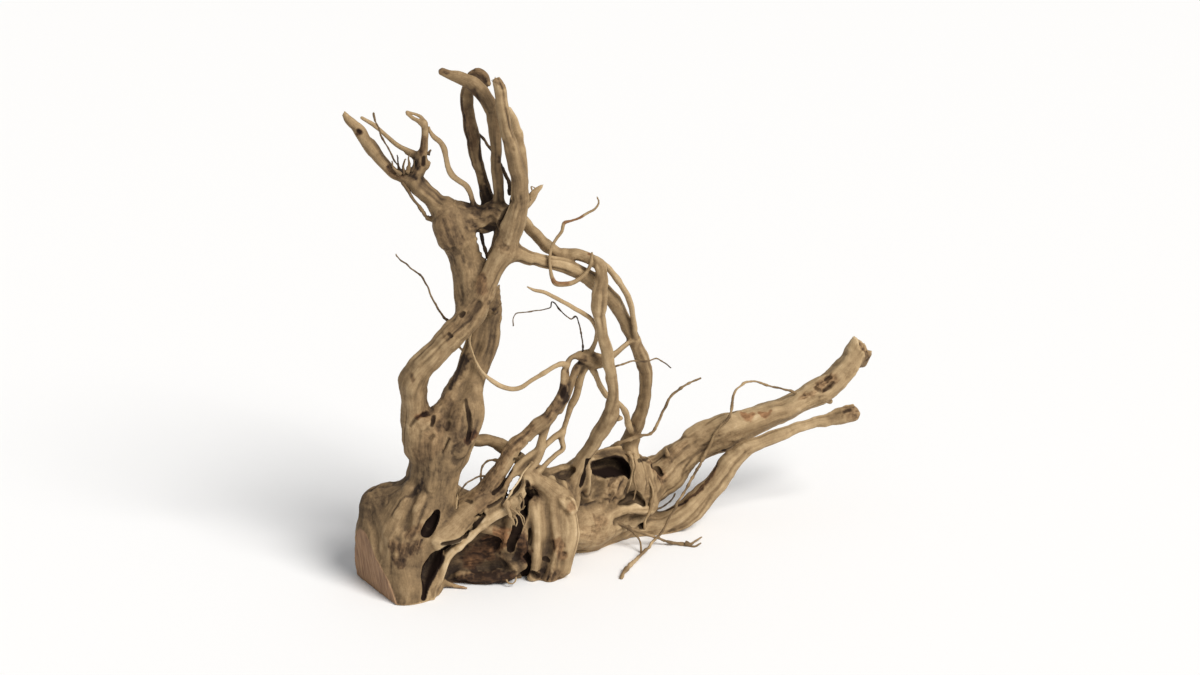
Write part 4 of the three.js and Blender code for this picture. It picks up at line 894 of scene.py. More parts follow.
def lobed(turn_cos, turn_sin, run, seed, amount):
    """How much a limb's radius swells at a place around and along it."""
    sway_a, sway_b = 0.021 * run + 1.7 * seed, 0.033 * run + 2.9 * seed
    two_cos, two_sin = turn_cos ** 2 - turn_sin ** 2, 2 * turn_cos * turn_sin
    three_cos = two_cos * turn_cos - two_sin * turn_sin
    three_sin = two_sin * turn_cos + two_cos * turn_sin
    swell = two_cos * np.cos(sway_a) + two_sin * np.sin(sway_a)
    swell = swell + 0.7 * (three_cos * np.cos(sway_b) + three_sin * np.sin(sway_b))
    return 1 + amount * swell


def crossing(offset, ways, t):
    """How far offsets from a segment reach along a cross direction that turns from its one end to
    its other."""
    x, y, z = offset
    start, stop = ways.astype(np.float32)
    near = (x * start[0] + y * start[1] + z * start[2]) * (1 - t)
    return near + (x * stop[0] + y * stop[1] + z * stop[2]) * t


def limb_field(field, piece, reach):
    """The limb's own distance field in its window, from its bent and lobed segments."""
    centre, radius = piece["centre"], piece["radius"]
    grow = radius.max() * LOBE_ROOM + reach
    cuts, _ = field.window(centre.min(0) - grow, centre.max(0) + grow)
    own = np.full(field.values[cuts].shape, 4 * FIELD_REACH, np.float32)
    last = len(centre) - 2
    for j in range(len(centre) - 1):
        a, b = centre[j], centre[j + 1]
        span = b - a
        length = max(float(np.linalg.norm(span)), 1e-6)
        pad = max(radius[j], radius[j + 1]) * LOBE_ROOM + reach
        part, (x, y, z) = field.window(np.minimum(a, b) - pad, np.maximum(a, b) + pad)
        inner = tuple(slice(p.start - c.start, p.stop - c.start) for p, c in zip(part, cuts))
        dx, dy, dz = x - np.float32(a[0]), y - np.float32(a[1]), z - np.float32(a[2])
        free = dx * np.float32(span[0]) + dy * np.float32(span[1]) + dz * np.float32(span[2])
        free = free / np.float32(length ** 2)
        t = np.clip(free, 0, 1)
        ox = dx - t * np.float32(span[0])
        oy = dy - t * np.float32(span[1])
        oz = dz - t * np.float32(span[2])
        size = np.float32(radius[j]) + t * np.float32(radius[j + 1] - radius[j])
        far = np.sqrt(ox * ox + oy * oy + oz * oz)
        u = crossing((ox, oy, oz), piece["side"][j:j + 2], t)
        v = crossing((ox, oy, oz), piece["other"][j:j + 2], t)
        flat = np.maximum(np.sqrt(u * u + v * v), 1e-3)
        run = np.float32(piece["run"][j]) + t * np.float32(length)
        swell = lobed(u / flat, v / flat, run, piece["seed"], piece["lobes"])
        d = far - size * swell
        for end, at, way in ((0, 0, -1), (1, last, 1)):
            depth = piece["torn"][end]
            if depth and j == at:
                over = (free * length if way < 0 else (free - 1) * length) * way
                jag = torn_edge(u, v, piece["seed"] + end) * depth
                across = np.sqrt(np.maximum(far ** 2 - np.maximum(over, 0) ** 2, 0)) - size * swell
                d = np.where(over > -depth, np.maximum(across, over - jag), d)
        np.minimum(own[inner], d, out=own[inner])
    return cuts, own


def torn_edge(u, v, seed):
    """How far fibres stand out of a torn end, as a share of its depth."""
    spots = np.stack([u.ravel() / 2.1, v.ravel() / 2.1, np.full(u.size, 0.5)], axis=1)
    return noise(spots, seed + 900).reshape(u.shape)


def fill(field, piece):
    """Grows a limb into the field."""
    blend = piece["fuse"]
    cuts, own = limb_field(field, piece, max(blend, 3) + 3)
    there = field.values[cuts]
    h = np.clip(0.5 + 0.5 * (own - there) / blend, 0, 1)
    field.values[cuts] = own * (1 - h) + there * h - blend * h * (1 - h)


def eat(field, stations, darkness, seed, blend=2.4):
    """Cuts a hollow out of the field."""
    hollow = trace({"stations": stations, "torn": (0, 0), "lobes": 0.14, "darkness": darkness}, seed)
    cuts, own = limb_field(field, hollow, 5)
    there, cut = field.values[cuts], -own
    h = np.clip(0.5 - 0.5 * (cut - there) / blend, 0, 1)
    field.values[cuts] = cut * (1 - h) + there * h + blend * h * (1 - h)
    return hollow


def cut_flat(field):
    """Cuts the floor face and the sawn face."""
    x, y, z = ((field.low[k] + VOXEL * np.arange(field.shape[k])).astype(np.float32) for k in range(3))
    near = z < FIELD_REACH
    field.values[:, :, near] = np.maximum(field.values[:, :, near], -z[near][None, None, :] + FLOOR_GAP)
    low = z < SAW_TOP
    beyond = saw_distance(x[:, None, None], y[None, :, None], z[None, None, low])
    field.values[:, :, low] = np.maximum(field.values[:, :, low], beyond)


def saw_distance(x, y, z):
    """How far places lie outside the sawn face."""
    corner = place([SAW_CORNER])[0][0]
    level = (x - corner[0]) * math.sin(SAW_TURN) - (y - corner[1]) * math.cos(SAW_TURN)
    return level * math.cos(SAW_LEAN) - z * math.sin(SAW_LEAN)


# The skin

def skin_of(field):
    """The field's surface: points in millimetres and four-cornered faces, without loose crumbs."""
    grid = openvdb.FloatGrid(FIELD_REACH)
    grid.copyFromArray(field.values)
    points, quads = grid.convertToQuads(isovalue=0)
    points = np.asarray(points, float) * VOXEL + field.low
    quads = np.asarray(quads, np.int64)
    a, b, c, d = (points[quads[:, k]] for k in range(4))
    volume = np.einsum("ij,ij->i", a, np.cross(b, c)).sum() + np.einsum("ij,ij->i", a, np.cross(c, d)).sum()
    inside_out = volume < 0
    if inside_out:
        quads = quads[:, ::-1]
    whole = largest_body(len(points), quads)
    kept = np.nonzero(whole)[0]
    renumber = np.full(len(points), -1)
    renumber[kept] = np.arange(len(kept))
    quads = renumber[quads[whole[quads[:, 0]]]]
    return points[kept], quads


def largest_body(count, quads):
    """Which points belong to the body with the most points."""
    links = edges_of(quads)
    label = np.arange(count)
    while True:
        low = np.minimum(label[links[:, 0]], label[links[:, 1]])
        fresh = label.copy()
        np.minimum.at(fresh, links[:, 0], low)
        np.minimum.at(fresh, links[:, 1], low)
        fresh = fresh[fresh]
        fresh = fresh[fresh]
        if (fresh == label).all():
            break
        label = fresh
    return label == np.bincount(label).argmax()


def edges_of(quads):
    """The two points of every edge, once each."""
    pairs = np.vstack([quads[:, [k, (k + 1) % 4]] for k in range(4)])
    pairs.sort(axis=1)
    count = quads.max() + 1
    edge = np.unique(pairs[:, 0] * count + pairs[:, 1])
    return np.column_stack([edge // count, edge % count])


def spread(values, links, rounds):
    """Values moved halfway to the mean of their neighbours', several times."""
    count = len(values)
    neighbours = np.bincount(links.ravel(), minlength=count)
    degree = np.maximum(neighbours, 1)[:, None]
    alone = neighbours == 0
    flat = values.reshape(count, -1)
    for _ in range(rounds):
        total = np.empty_like(flat)
        for k in range(flat.shape[1]):
            total[:, k] = np.bincount(links[:, 0], flat[links[:, 1], k], count)
            total[:, k] += np.bincount(links[:, 1], flat[links[:, 0], k], count)
        total[alone] = flat[alone]
        flat = 0.5 * flat + 0.5 * total / degree
    return flat.reshape(values.shape)


def normals_of(points, quads):
    """The skin's direction outwards at each point."""
    a, b, c, d = (points[quads[:, k]] for k in range(4))
    facing = np.cross(c - a, d - b)
    total = np.zeros_like(points)
    for k in range(4):
        for axis in range(3):
            total[:, axis] += np.bincount(quads[:, k], facing[:, axis], len(points))
    return total / np.maximum(np.linalg.norm(total, axis=1), 1e-9)[:, None]


def within(points, line, reach):
    """Which points lie in a line's box, grown by reach."""
    return np.all((points > line.min(0) - reach) & (points < line.max(0) + reach), axis=1)


def follow(points, limbs, links):
    """For each point its nearest limb and the next, its place in each limb's own straightened frame,
    how much the second one counts, and the tone and radius of the wood there."""
    count = len(points)
    near = [np.full(count, FAR, np.float32) for _ in range(2)]
    who = [np.zeros(count, int) for _ in range(2)]
    fibre = [np.zeros((count, 4), np.float32) for _ in range(2)]
    weight, tone, size = np.full(count, 1e-6), np.full(count, 5e-7), np.full(count, 5e-6)
    for number, piece in enumerate(limbs):
        centre, radius = piece["centre"], piece["radius"]
        chosen = np.nonzero(within(points, centre, radius.max() * 1.2 + 9))[0]
        if not len(chosen):
            continue
        here = points[chosen].astype(np.float32)
        gap = np.full(len(chosen), FAR, np.float32)
        own = np.zeros((len(chosen), 4), np.float32)
        thick = np.zeros(len(chosen), np.float32)
        for j in range(len(centre) - 1):
            a, span = centre[j].astype(np.float32), (centre[j + 1] - centre[j]).astype(np.float32)
            length = max(float(np.linalg.norm(span)), 1e-6)
            rel = here - a
            t = np.clip(rel @ span / length ** 2, 0, 1)
            off = rel - t[:, None] * span
            wide = radius[j] + t * (radius[j + 1] - radius[j])
            away = np.linalg.norm(off, axis=1) - wide
            closer = away < gap
            off, t = off[closer], t[closer]
            gap[closer] = away[closer]
            thick[closer] = wide[closer]
            own[closer, 0] = (off @ piece["side"][j]) * (1 - t) + (off @ piece["side"][j + 1]) * t
            own[closer, 1] = (off @ piece["other"][j]) * (1 - t) + (off @ piece["other"][j + 1]) * t
            own[closer, 2] = piece["run"][j] + t * length
            own[closer, 3] = piece["order"][j] + t * (piece["order"][j + 1] - piece["order"][j])
        share = np.exp(-np.maximum(gap, -MIX_REACH) / MIX_REACH)
        weight[chosen] += share
        tone[chosen] += share * piece["tone"]
        size[chosen] += share * thick
        own[:, :3] += np.float32(GRAIN_STEP) * (number + 1)
        first = gap < near[0][chosen]
        second = ~first & (gap < near[1][chosen])
        fresh, other = chosen[first], chosen[second]
        near[1][fresh], who[1][fresh], fibre[1][fresh] = near[0][fresh], who[0][fresh], fibre[0][fresh]
        near[0][fresh], who[0][fresh], fibre[0][fresh] = gap[first], number, own[first]
        near[1][other], who[1][other], fibre[1][other] = gap[second], number, own[second]
    for k in range(2):
        same = links[who[k][links[:, 0]] == who[k][links[:, 1]]]
        fibre[k] = spread(fibre[k].astype(float), same, 5)
    pull = [np.exp(-np.clip(gap, -MIX_REACH, 40) / MIX_REACH) for gap in near]
    return {"who": who[0], "next": who[1], "fibre_a": fibre[0][:, :3], "fibre_b": fibre[1][:, :3],
            "order": fibre[0][:, 3], "share": pull[1] / (pull[0] + pull[1] + 1e-9),
            "tone": tone / weight, "size": size / weight}


def grain_noise(wood, across, along, seed):
    """Noise drawn out along the limbs, mixed where two of them meet."""
    scale = np.array([across, across, along])
    first = noise(wood["fibre_a"] / scale, seed)
    second = noise(wood["fibre_b"] / scale, seed)
    return first * (1 - wood["share"]) + second * wood["share"]


def crowding(field, points, normals, cell=3, rounds=3, reach=3, ahead=5):
    """How much wood stands around the place a little ahead of each point, from 0 on a tip to 1 deep
    in a hollow: the share of wood in coarse cells, averaged over boxes several times."""
    solid = (field.values[::cell, ::cell, ::cell] < 0).astype(np.float32)
    for _ in range(rounds):
        for axis in range(3):
            pad = [(0, 0)] * 3
            pad[axis] = (reach + 1, reach)
            total = np.cumsum(np.pad(solid, pad), axis=axis)
            width = 2 * reach + 1
            size = solid.shape[axis]
            high = np.take(total, np.arange(width, width + size), axis=axis)
            low = np.take(total, np.arange(0, size), axis=axis)
            solid = (high - low) / width
    return sampled(solid, (points + normals * ahead - field.low) / (VOXEL * cell))


def line_gaps(points, centre, radius):
    """For each segment of a line, how far points are from it and how thick it is beside them."""
    for a, b, r0, r1 in zip(centre[:-1], centre[1:], radius[:-1], radius[1:]):
        span = b - a
        t = np.clip((points - a) @ span / max(span @ span, 1e-9), 0, 1)
        yield np.linalg.norm(points - a - t[:, None] * span, axis=1), r0 + t * (r1 - r0)


def stains_and_shade_lines(points, field, ragged):
    """How rough, dark and red the spots, stains and a few lines of painted shade, make each point."""
    rough, dark, red = (np.zeros(len(points)) for _ in range(3))
    for stations, darkness, roughness, redness in SPOTS:
        line = stations if len(stations) > 1 else stations * 2
        laid = field.lay_on_skin([[across, up, 0, radius] for across, up, radius in line])
        centre, scale = place(laid)
        radii = np.array(laid)[:, 3] * scale
        away = np.full(len(points), 9.0)
        near = within(points, centre, radii.max() * 1.5 + 1)
        for gap, size in line_gaps(points[near], centre, radii):
            away[near] = np.minimum(away[near], gap / size)
        part = smooth_step(1.25, 0.45, away + ragged)
        rough = np.maximum(rough, part * roughness)
        dark = np.maximum(dark, part * darkness)
        red = np.maximum(red, part * redness)
    return rough, dark, red


def hollowed(points, hollows):
    """How much painted shade each point gets from lying deep in a hollow or dent, from 0 to 1."""
    hollow_shade = np.zeros(len(points))
    for hollow in hollows:
        chosen = np.nonzero(within(points, hollow["centre"], hollow["radius"].max() + 4))[0]
        gap = np.full(len(chosen), FAR)
        for away, size in line_gaps(points[chosen], hollow["centre"], hollow["radius"]):
            gap = np.minimum(gap, away - size)
        inside = hollow["darkness"] * smooth_step(1.5, 0.5, gap)
        hollow_shade[chosen] = np.maximum(hollow_shade[chosen], inside)
    return hollow_shade


def weather(points, quads, field, limbs, hollows):
    """The skin with grain, grooves, cracks, pits and lumps pressed into it, and what the finish
    needs to know about each point."""
    links = edges_of(quads)
    wood = follow(points, limbs, links)
    normals = normals_of(points, quads)

    # The sawn face and the floor, where the skin keeps flat
    sawn = smooth_step(1.2, 0.3, np.abs(saw_distance(*points.T))) * (points[:, 2] < SAW_MARKS_TOP)
    sawn = sawn * smooth_step(0.75, 0.9, -normals @ np.array([math.sin(-SAW_TURN), math.cos(SAW_TURN), 0]))
    floor = smooth_step(1.6, 0.4, points[:, 2])
    still = np.maximum(sawn, floor)
    wide = np.clip(wood["size"], 1.2, 26)

    # Stains, a few lines of painted shade, and the painted shade inside hollows
    ragged = 0.24 * noise(points / 5.0, 71) + 0.2 * noise(points / 2.4, 73)
    rough, dark, red = stains_and_shade_lines(points, field, ragged)
    patch = smooth_step(0.35, 0.75, noise(points / 31.0, 72)) * smooth_step(5, 11, wide)
    rough = np.maximum(rough, 0.45 * patch)
    hollow_shade = hollowed(points, hollows)

    # Relief: round lumps, flutes and fine grain along the limbs, furrows, and pits in rough wood
    lumps = noise(points / 19.0, 1) * np.clip(0.08 * wide, 0.2, 1.5)
    lumps += noise(points / 8.0, 2) * np.clip(0.034 * wide, 0.1, 0.5)
    flutes = grain_noise(wood, 8, 80, 3) * np.clip(0.075 * wide, 0.1, 1.1)
    fine = grain_noise(wood, 2.4, 26, 5) * np.clip(0.022 * wide, 0.06, 0.2)
    heaves = noise(points / 30.0, 13) * smooth_step(12, 20, wide) * 1.6
    furrow = smooth_step(0.4, 0.0, np.abs(grain_noise(wood, 8.5, 90, 21)))
    furrow = furrow * smooth_step(-0.1, 0.5, grain_noise(wood, 15, 60, 22)) * smooth_step(2.5, 6, wide)
    furrow = spread(furrow, links, 1)
    pit = smooth_step(0.3, 0.8, grain_noise(wood, 2.6, 5, 8)) * rough
    slot = smooth_step(0.2, 0.75, grain_noise(wood, 3.2, 15, 11)) * rough
    crumb = (noise(points / 2.2, 9) * 0.2 + noise(points / 5.0, 12) * 0.6) * rough
    deep = np.clip(wide / 8, 0.25, 1)
    move = heaves + lumps + flutes + fine - furrow + (crumb - 0.5 * pit - 0.9 * slot) * deep
    move = spread(move, links, 1)
    move = move * (1 - 0.95 * still) + 0.12 * sawn * noise(points / [1.2, 1.2, 14], 10)
    points = points + normals * move[:, None]
    points[:, 2] = np.maximum(points[:, 2], 0.0)

    # Edges and raised places, worn pale and lit with painted highlight, and the low places of the relief
    # darkened with painted shade
    smoothed = spread(points, links, 6)
    edge = np.einsum("ij,ij->i", points - smoothed, normals)
    wider = np.einsum("ij,ij->i", smoothed - spread(smoothed, links, 34), normals)
    raised = np.clip(wider / np.clip(0.09 * wide, 0.25, 1.4) - 0.55, -1, 1)
    wood.update({
        # painted shade for the sunken furrows, slots and pits
        "sunk_shade": np.clip(0.4 * pit + 0.5 * slot + 0.6 * furrow, 0, 1),
        "wear_and_shading": np.clip(0.5 + edge + 0.22 * raised, 0, 1),
        # how much wood stands around each point, which sets its painted shade
        "crowd_shade": crowding(field, points, normals),
        "hollow_shade": hollow_shade, "sawn": sawn, "rough": rough, "dark": dark, "red": red,
    })
    return points, wood


# Fine twigs

def twig_tube(piece, sides=8, spacing=1.6):
    """A thin twig as a closed tube, knotted and slightly crooked, with its skin's own grain places."""
    knots = np.column_stack([piece["centre"], piece["radius"]])
    knots = knots[::max(1, int(4 / np.linalg.norm(knots[1, :3] - knots[0, :3])))]
    route = rounded_route(knots, spacing)
    centre, radius = route[:, :3].copy(), route[:, 3]
    run = length_so_far(centre)
    spots = np.column_stack([run / 7.0, np.full(len(run), piece["seed"] * 3.3), np.zeros(len(run))])
    crook = np.column_stack([noise(spots + [0, 0, 9.5 * k], 40 + k) for k in range(3)])
    centre[1:-1] += (crook * 0.45)[1:-1]
    knotty = smooth_step(0.45, 0.9, noise(spots * [1.3, 1, 1], 50))
    radius = radius * (1 + 0.14 * noise(spots * [3.1, 1, 1], 51) + 0.35 * knotty)
    if radius[0] > radius[-1]:
        radius = radius * (1 + 1.1 * np.exp(-run / (2.4 * radius[0])))
    along, side, other = directions(centre)
    turn = 2 * np.pi * np.arange(sides) / sides
    cos, sin = np.cos(turn), np.sin(turn)
    points, fibre = [], []
    for i in range(len(centre)):
        outward = cos[:, None] * side[i] + sin[:, None] * other[i]
        bump = 1 + 0.1 * noise(outward * 1.3 + run[i] / 5 + piece["seed"], 52)
        points.append(centre[i] + outward * (radius[i] * bump)[:, None])
        fibre.append(np.column_stack([cos * radius[i], sin * radius[i], np.full(sides, run[i])]))
    points.append(centre[:1] - along[:1] * radius[0] * 0.5)
    points.append(centre[-1:] + along[-1:] * radius[-1] * 0.5)
    points = np.vstack(points)
    points[:, 2] = np.maximum(points[:, 2], 0.0)
    fibre = np.vstack(fibre + [[[0, 0, run[0]]], [[0, 0, run[-1]]]])
    ring = np.arange(sides)
    turned = (ring + 1) % sides
    faces = []
    for low in range(0, (len(centre) - 1) * sides, sides):
        faces.append(np.column_stack([low + ring, low + turned, low + sides + turned, low + sides + ring]))
    start, stop, top = len(points) - 2, len(points) - 1, (len(centre) - 1) * sides
    caps = [(start, t, r) for r, t in zip(ring, turned)]
    caps += [(stop, top + r, top + t) for r, t in zip(ring, turned)]
    return points, np.vstack(faces), np.array(caps), fibre


# Finish

class Nodes:
    """A material's node tree. Each method adds one node and returns what comes out of it."""

    def __init__(self, name):
        self.material = bpy.data.materials.new(name)
        self.material.use_nodes = True
        self.tree = self.material.node_tree
        self.tree.nodes.clear()

    def add(self, kind, **settings):
        made = self.tree.nodes.new(kind)
        for key, value in settings.items():
            setattr(made, key, value)
        return made

    def link(self, source, socket):
        self.tree.links.new(source, socket)

    def put(self, socket, value):
        """Links a socket to another one, or sets it to a number or colour."""
        if isinstance(value, bpy.types.NodeSocket):
            self.link(value, socket)
        else:
            socket.default_value = value

    def attribute(self, name, output="Fac"):
        return self.add("ShaderNodeAttribute", attribute_name=name).outputs[output]

    def math(self, operation, a, b=0.0, c=0.0, clamp=False):
        made = self.add("ShaderNodeMath", operation=operation, use_clamp=clamp)
        for socket, value in zip(made.inputs, (a, b, c)):
            self.put(socket, value)
        return made.outputs[0]

    def mix(self, share, a, b, blend="MIX"):
        made = self.add("ShaderNodeMix", data_type="RGBA", blend_type=blend, clamp_factor=True)
        self.put(made.inputs[0], share)
        self.put(made.inputs[6], a)
        self.put(made.inputs[7], b)
        return made.outputs[2]

    def blend(self, share, a, b):
        made = self.add("ShaderNodeMix", data_type="FLOAT", clamp_factor=True)
        self.put(made.inputs[0], share)
        self.put(made.inputs[2], a)
        self.put(made.inputs[3], b)
        return made.outputs[0]

    def noise(self, vector, scale, detail=3.0, roughness=0.55, stretch=None):
        if stretch:
            mapped = self.add("ShaderNodeMapping")
            self.link(vector, mapped.inputs[0])
            mapped.inputs[3].default_value = stretch
            vector = mapped.outputs[0]
        made = self.add("ShaderNodeTexNoise")
        self.link(vector, made.inputs["Vector"])
        made.inputs["Scale"].default_value = scale
        made.inputs["Detail"].default_value = detail
        made.inputs["Roughness"].default_value = roughness
        return made.outputs[0]

    def ramp(self, value, *stops):
        made = self.add("ShaderNodeValToRGB")
        self.link(value, made.inputs[0])
        line = made.color_ramp
        for i, (at, colour) in enumerate(stops):
            stop = line.elements[i] if i < 2 else line.elements.new(at)
            stop.position = at
            stop.color = (*colour, 1)
        return made.outputs[0]

    def span(self, value, low, high, to_low=0.0, to_high=1.0):
        made = self.add("ShaderNodeMapRange", interpolation_type="SMOOTHSTEP")
        self.link(value, made.inputs[0])
        for k, number in enumerate((low, high, to_low, to_high)):
            made.inputs[k + 1].default_value = number
        return made.outputs[0]


def wood_finish():
    """Washed, weathered root wood."""
    n = Nodes("weathered_root_wood")
    share, rough = n.attribute("share"), n.attribute("rough")

    def grain(scale, stretch, detail=3.0):
        a = n.noise(n.attribute("fibre_a", "Vector"), scale, detail, stretch=(1, 1, stretch))
        b = n.noise(n.attribute("fibre_b", "Vector"), scale, detail, stretch=(1, 1, stretch))
        return n.blend(share, a, b)

    def add(value, amount, to):
        return n.math("MULTIPLY_ADD", n.math("SUBTRACT", value, 0.5), amount, to)

    here = n.add("ShaderNodeTexCoord").outputs["Object"]
    streak = grain(0.28, 0.07)
    hair = grain(1.3, 0.05, 4.0)
    cloud = n.noise(here, 26, 4)
    mottle = n.noise(here, 120, 4)
    fleck = n.noise(here, 520, 3)
    stripe = grain(0.075, 0.1, 2.0)
    pores = n.math("MULTIPLY", n.span(grain(0.62, 0.3, 2.0), 0.54, 0.68), rough)
    bright = n.attribute("tone")
    # Pale edges and ridges are partly real wear and partly painted highlight, and the low places of the
    # relief get painted shade
    swings = ((streak, 0.3), (stripe, 0.34), (hair, 0.28), (cloud, 0.5), (mottle, 0.26), (fleck, 0.2),
              (n.attribute("wear_and_shading"), 0.42))
    for value, amount in swings:
        bright = add(value, amount, bright)
    # Painted shade in the sunken grain and pits, then pores, rough wood and the spots, some of them painted
    # shade, darken the tone
    losses = ((n.attribute("sunk_shade"), -0.2), (pores, -0.13), (rough, -0.07), (n.attribute("dark"), -0.55))
    for value, amount in losses:
        bright = n.math("MULTIPLY_ADD", value, amount, bright)
    # Painted shade, like occlusion, where much wood stands around: crotches, clefts and hollows
    shade = n.span(n.attribute("crowd_shade"), 0.25, 0.75)
    bright = n.math("MULTIPLY_ADD", shade, -0.28, bright, clamp=True)
    colour = n.ramp(bright, (0.0, (0.026, 0.016, 0.01)), (0.25, (0.1, 0.064, 0.034)),
                    (0.5, (0.248, 0.163, 0.082)), (0.75, (0.43, 0.302, 0.163)), (1.0, (0.62, 0.475, 0.295)))
    grey = n.span(n.noise(here, 15, 3), 0.42, 0.7, 0.0, 0.14)
    colour = n.mix(grey, colour, n.mix(1.0, colour, (0.9, 0.94, 1.0, 1), "MULTIPLY"))
    rust = n.math("MULTIPLY", n.attribute("red"), 0.8)
    colour = n.mix(rust, colour, n.mix(1.0, colour, (1.0, 0.66, 0.52, 1), "MULTIPLY"))
    # Painted shade: the insides of hollows and dents are painted near black
    pit = n.attribute("hollow_shade")
    colour = n.mix(pit, colour, (0.016, 0.01, 0.008, 1))
    saw_marks = n.noise(here, 1, 3, stretch=(420, 420, 24))
    saw_colour = n.ramp(saw_marks, (0.3, (0.19, 0.108, 0.062)), (0.62, (0.36, 0.215, 0.12)))
    colour = n.mix(n.attribute("sawn"), colour, saw_colour)
    height = n.math("MULTIPLY_ADD", hair, 0.5, n.math("MULTIPLY", grain(3.4, 0.06, 3.0), 0.35))
    grit = n.math("MULTIPLY_ADD", rough, 1.1, 0.2)
    height = n.math("MULTIPLY_ADD", n.noise(here, 800, 3), grit, height)
    height = n.math("MULTIPLY_ADD", pores, -1.0, height)
    bump = n.add("ShaderNodeBump")
    bump.inputs["Strength"].default_value = 0.7
    bump.inputs["Distance"].default_value = 0.0006
    n.link(height, bump.inputs["Height"])
    shader = n.add("ShaderNodeBsdfPrincipled")
    n.link(colour, shader.inputs["Base Color"])
    n.link(n.span(bright, 0.1, 0.9, 0.86, 0.66), shader.inputs["Roughness"])
    n.link(bump.outputs[0], shader.inputs["Normal"])
    # Less reflection where the painted shade of the hollows lies
    n.link(n.math("MULTIPLY_ADD", pit, -0.24, 0.24), shader.inputs["Specular IOR Level"])
    n.link(shader.outputs[0], n.add("ShaderNodeOutputMaterial").inputs[0])
    return n.material


# Showing

# What the skin tells the finish: places in the grain, which each face's corner holds, and plain numbers
FIBRES = ("share", "fibre_a", "fibre_b", "who", "next")
FLOATS = ("tone", "sunk_shade", "wear_and_shading", "crowd_shade", "hollow_shade", "sawn", "rough", "dark", "red")


def add_object(name, data):
    """A new object in the scene."""
    made = bpy.data.objects.new(name, data)
    bpy.context.scene.collection.objects.link(made)
    return made


def show(name, points, faces, normals, wood, nodes, finish):
    """One visible piece from points in millimetres, standing for the solids named in nodes."""
    mesh = bpy.data.meshes.new(name)
    corners = np.concatenate([np.asarray(face).ravel() for face in faces]).astype(np.int32)
    sizes = np.concatenate([np.full(len(face), face.shape[1]) for face in faces])
    starts = np.concatenate([[0], np.cumsum(sizes)[:-1]])
    mesh.vertices.add(len(points))
    mesh.vertices.foreach_set("co", (points / MM_PER_METRE).astype(np.float32).ravel())
    mesh.loops.add(len(corners))
    mesh.loops.foreach_set("vertex_index", corners)
    mesh.polygons.add(len(sizes))
    mesh.polygons.foreach_set("loop_start", starts.astype(np.int32))
    mesh.update(calc_edges=True)
    mesh.shade_smooth()
    for key in FLOATS:
        made = mesh.attributes.new(key, "FLOAT", "POINT")
        made.data.foreach_set("value", np.asarray(wood[key], np.float32))
    first = np.repeat(corners[starts], sizes)
    for key, values in corner_fibres(wood, corners, first).items():
        kind, field_name = ("FLOAT", "value") if values.ndim == 1 else ("FLOAT_VECTOR", "vector")
        made = mesh.attributes.new(key, kind, "CORNER")
        made.data.foreach_set(field_name, values.astype(np.float32).ravel())
    if normals is not None:
        mesh.normals_split_custom_set_from_vertices(normals.astype(np.float32))
    mesh.materials.append(finish)
    piece = add_object(name, mesh)
    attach(piece, "root")
    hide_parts(*nodes)


def corner_fibres(wood, corners, first):
    """Places in the two limbs' frames for each corner of each face, where all corners of a face keep
    to the two limbs of its first corner."""
    who, after = wood["who"][corners], wood["next"][corners]
    main, other = wood["who"][first], wood["next"][first]
    straight, crossed = (who == main) & (after == other), (who == other) & (after == main)
    a, b = wood["fibre_a"][corners], wood["fibre_b"][corners]
    a_first, b_first = wood["fibre_a"][first], wood["fibre_b"][first]
    share, share_first = wood["share"][corners], wood["share"][first]
    place_a = np.where((who == main)[:, None], a, np.where((after == main)[:, None], b, a_first))
    place_b = np.where((after == other)[:, None], b, np.where((who == other)[:, None], a, b_first))
    mixed = np.where(straight, share, np.where(crossed, 1 - share, share_first))
    return {"fibre_a": place_a, "fibre_b": place_b, "share": mixed}


def filled_field(limbs):
    """The field with every limb, the floor and the saw cut. Limbs on the skin are traced anew there."""
    hard = [piece for piece in limbs if not piece["on_skin"]]
    low = np.min([piece["centre"].min(0) - piece["radius"].max() for piece in hard], axis=0) - MARGIN
    high = np.max([piece["centre"].max(0) + piece["radius"].max() for piece in hard], axis=0) + MARGIN
    low[2] = UNDER_FLOOR
    field = Field(low, high)
    for number, piece in enumerate(limbs):
        if piece["on_skin"]:
            stations = field.lay_on_skin(piece["stations"])
            limbs[number] = trace({**FILLED[number], "stations": stations}, number)
        fill(field, limbs[number])
    cut_flat(field)
    return field


def eat_all(field):
    """Cuts the hollows, and then the dents where the skin lay before the first of them was cut."""
    hollows = []
    for i, (stations, darkness) in enumerate(HOLLOWS):
        hollows.append(eat(field, stations, darkness, HOLLOW_SEED + i))
    laid = [(field.lay_on_skin(stations), darkness) for stations, darkness in DENTS]
    for i, (stations, darkness) in enumerate(laid):
        blend = CRISP_EDGE if darkness > DARK_DENT else SOFT_EDGE
        hollows.append(eat(field, stations, darkness, DENT_SEED + i, blend))
    return hollows


def piece_numbers(limbs, wood):
    """The number of the piece that each point of the skin belongs to."""
    owner = {node: number for number, nodes in enumerate(PIECES.values()) for node in nodes}
    main = np.array([owner[piece["node"]] for piece in limbs])
    last_nodes = [piece["then"][0] if piece["then"] else piece["node"] for piece in limbs]
    after = np.array([owner[node] for node in last_nodes])
    switch = np.array([piece["then"][1] - 0.5 if piece["then"] else np.inf for piece in limbs])
    who = wood["who"]
    return np.where(wood["order"] > switch[who], after[who], main[who])


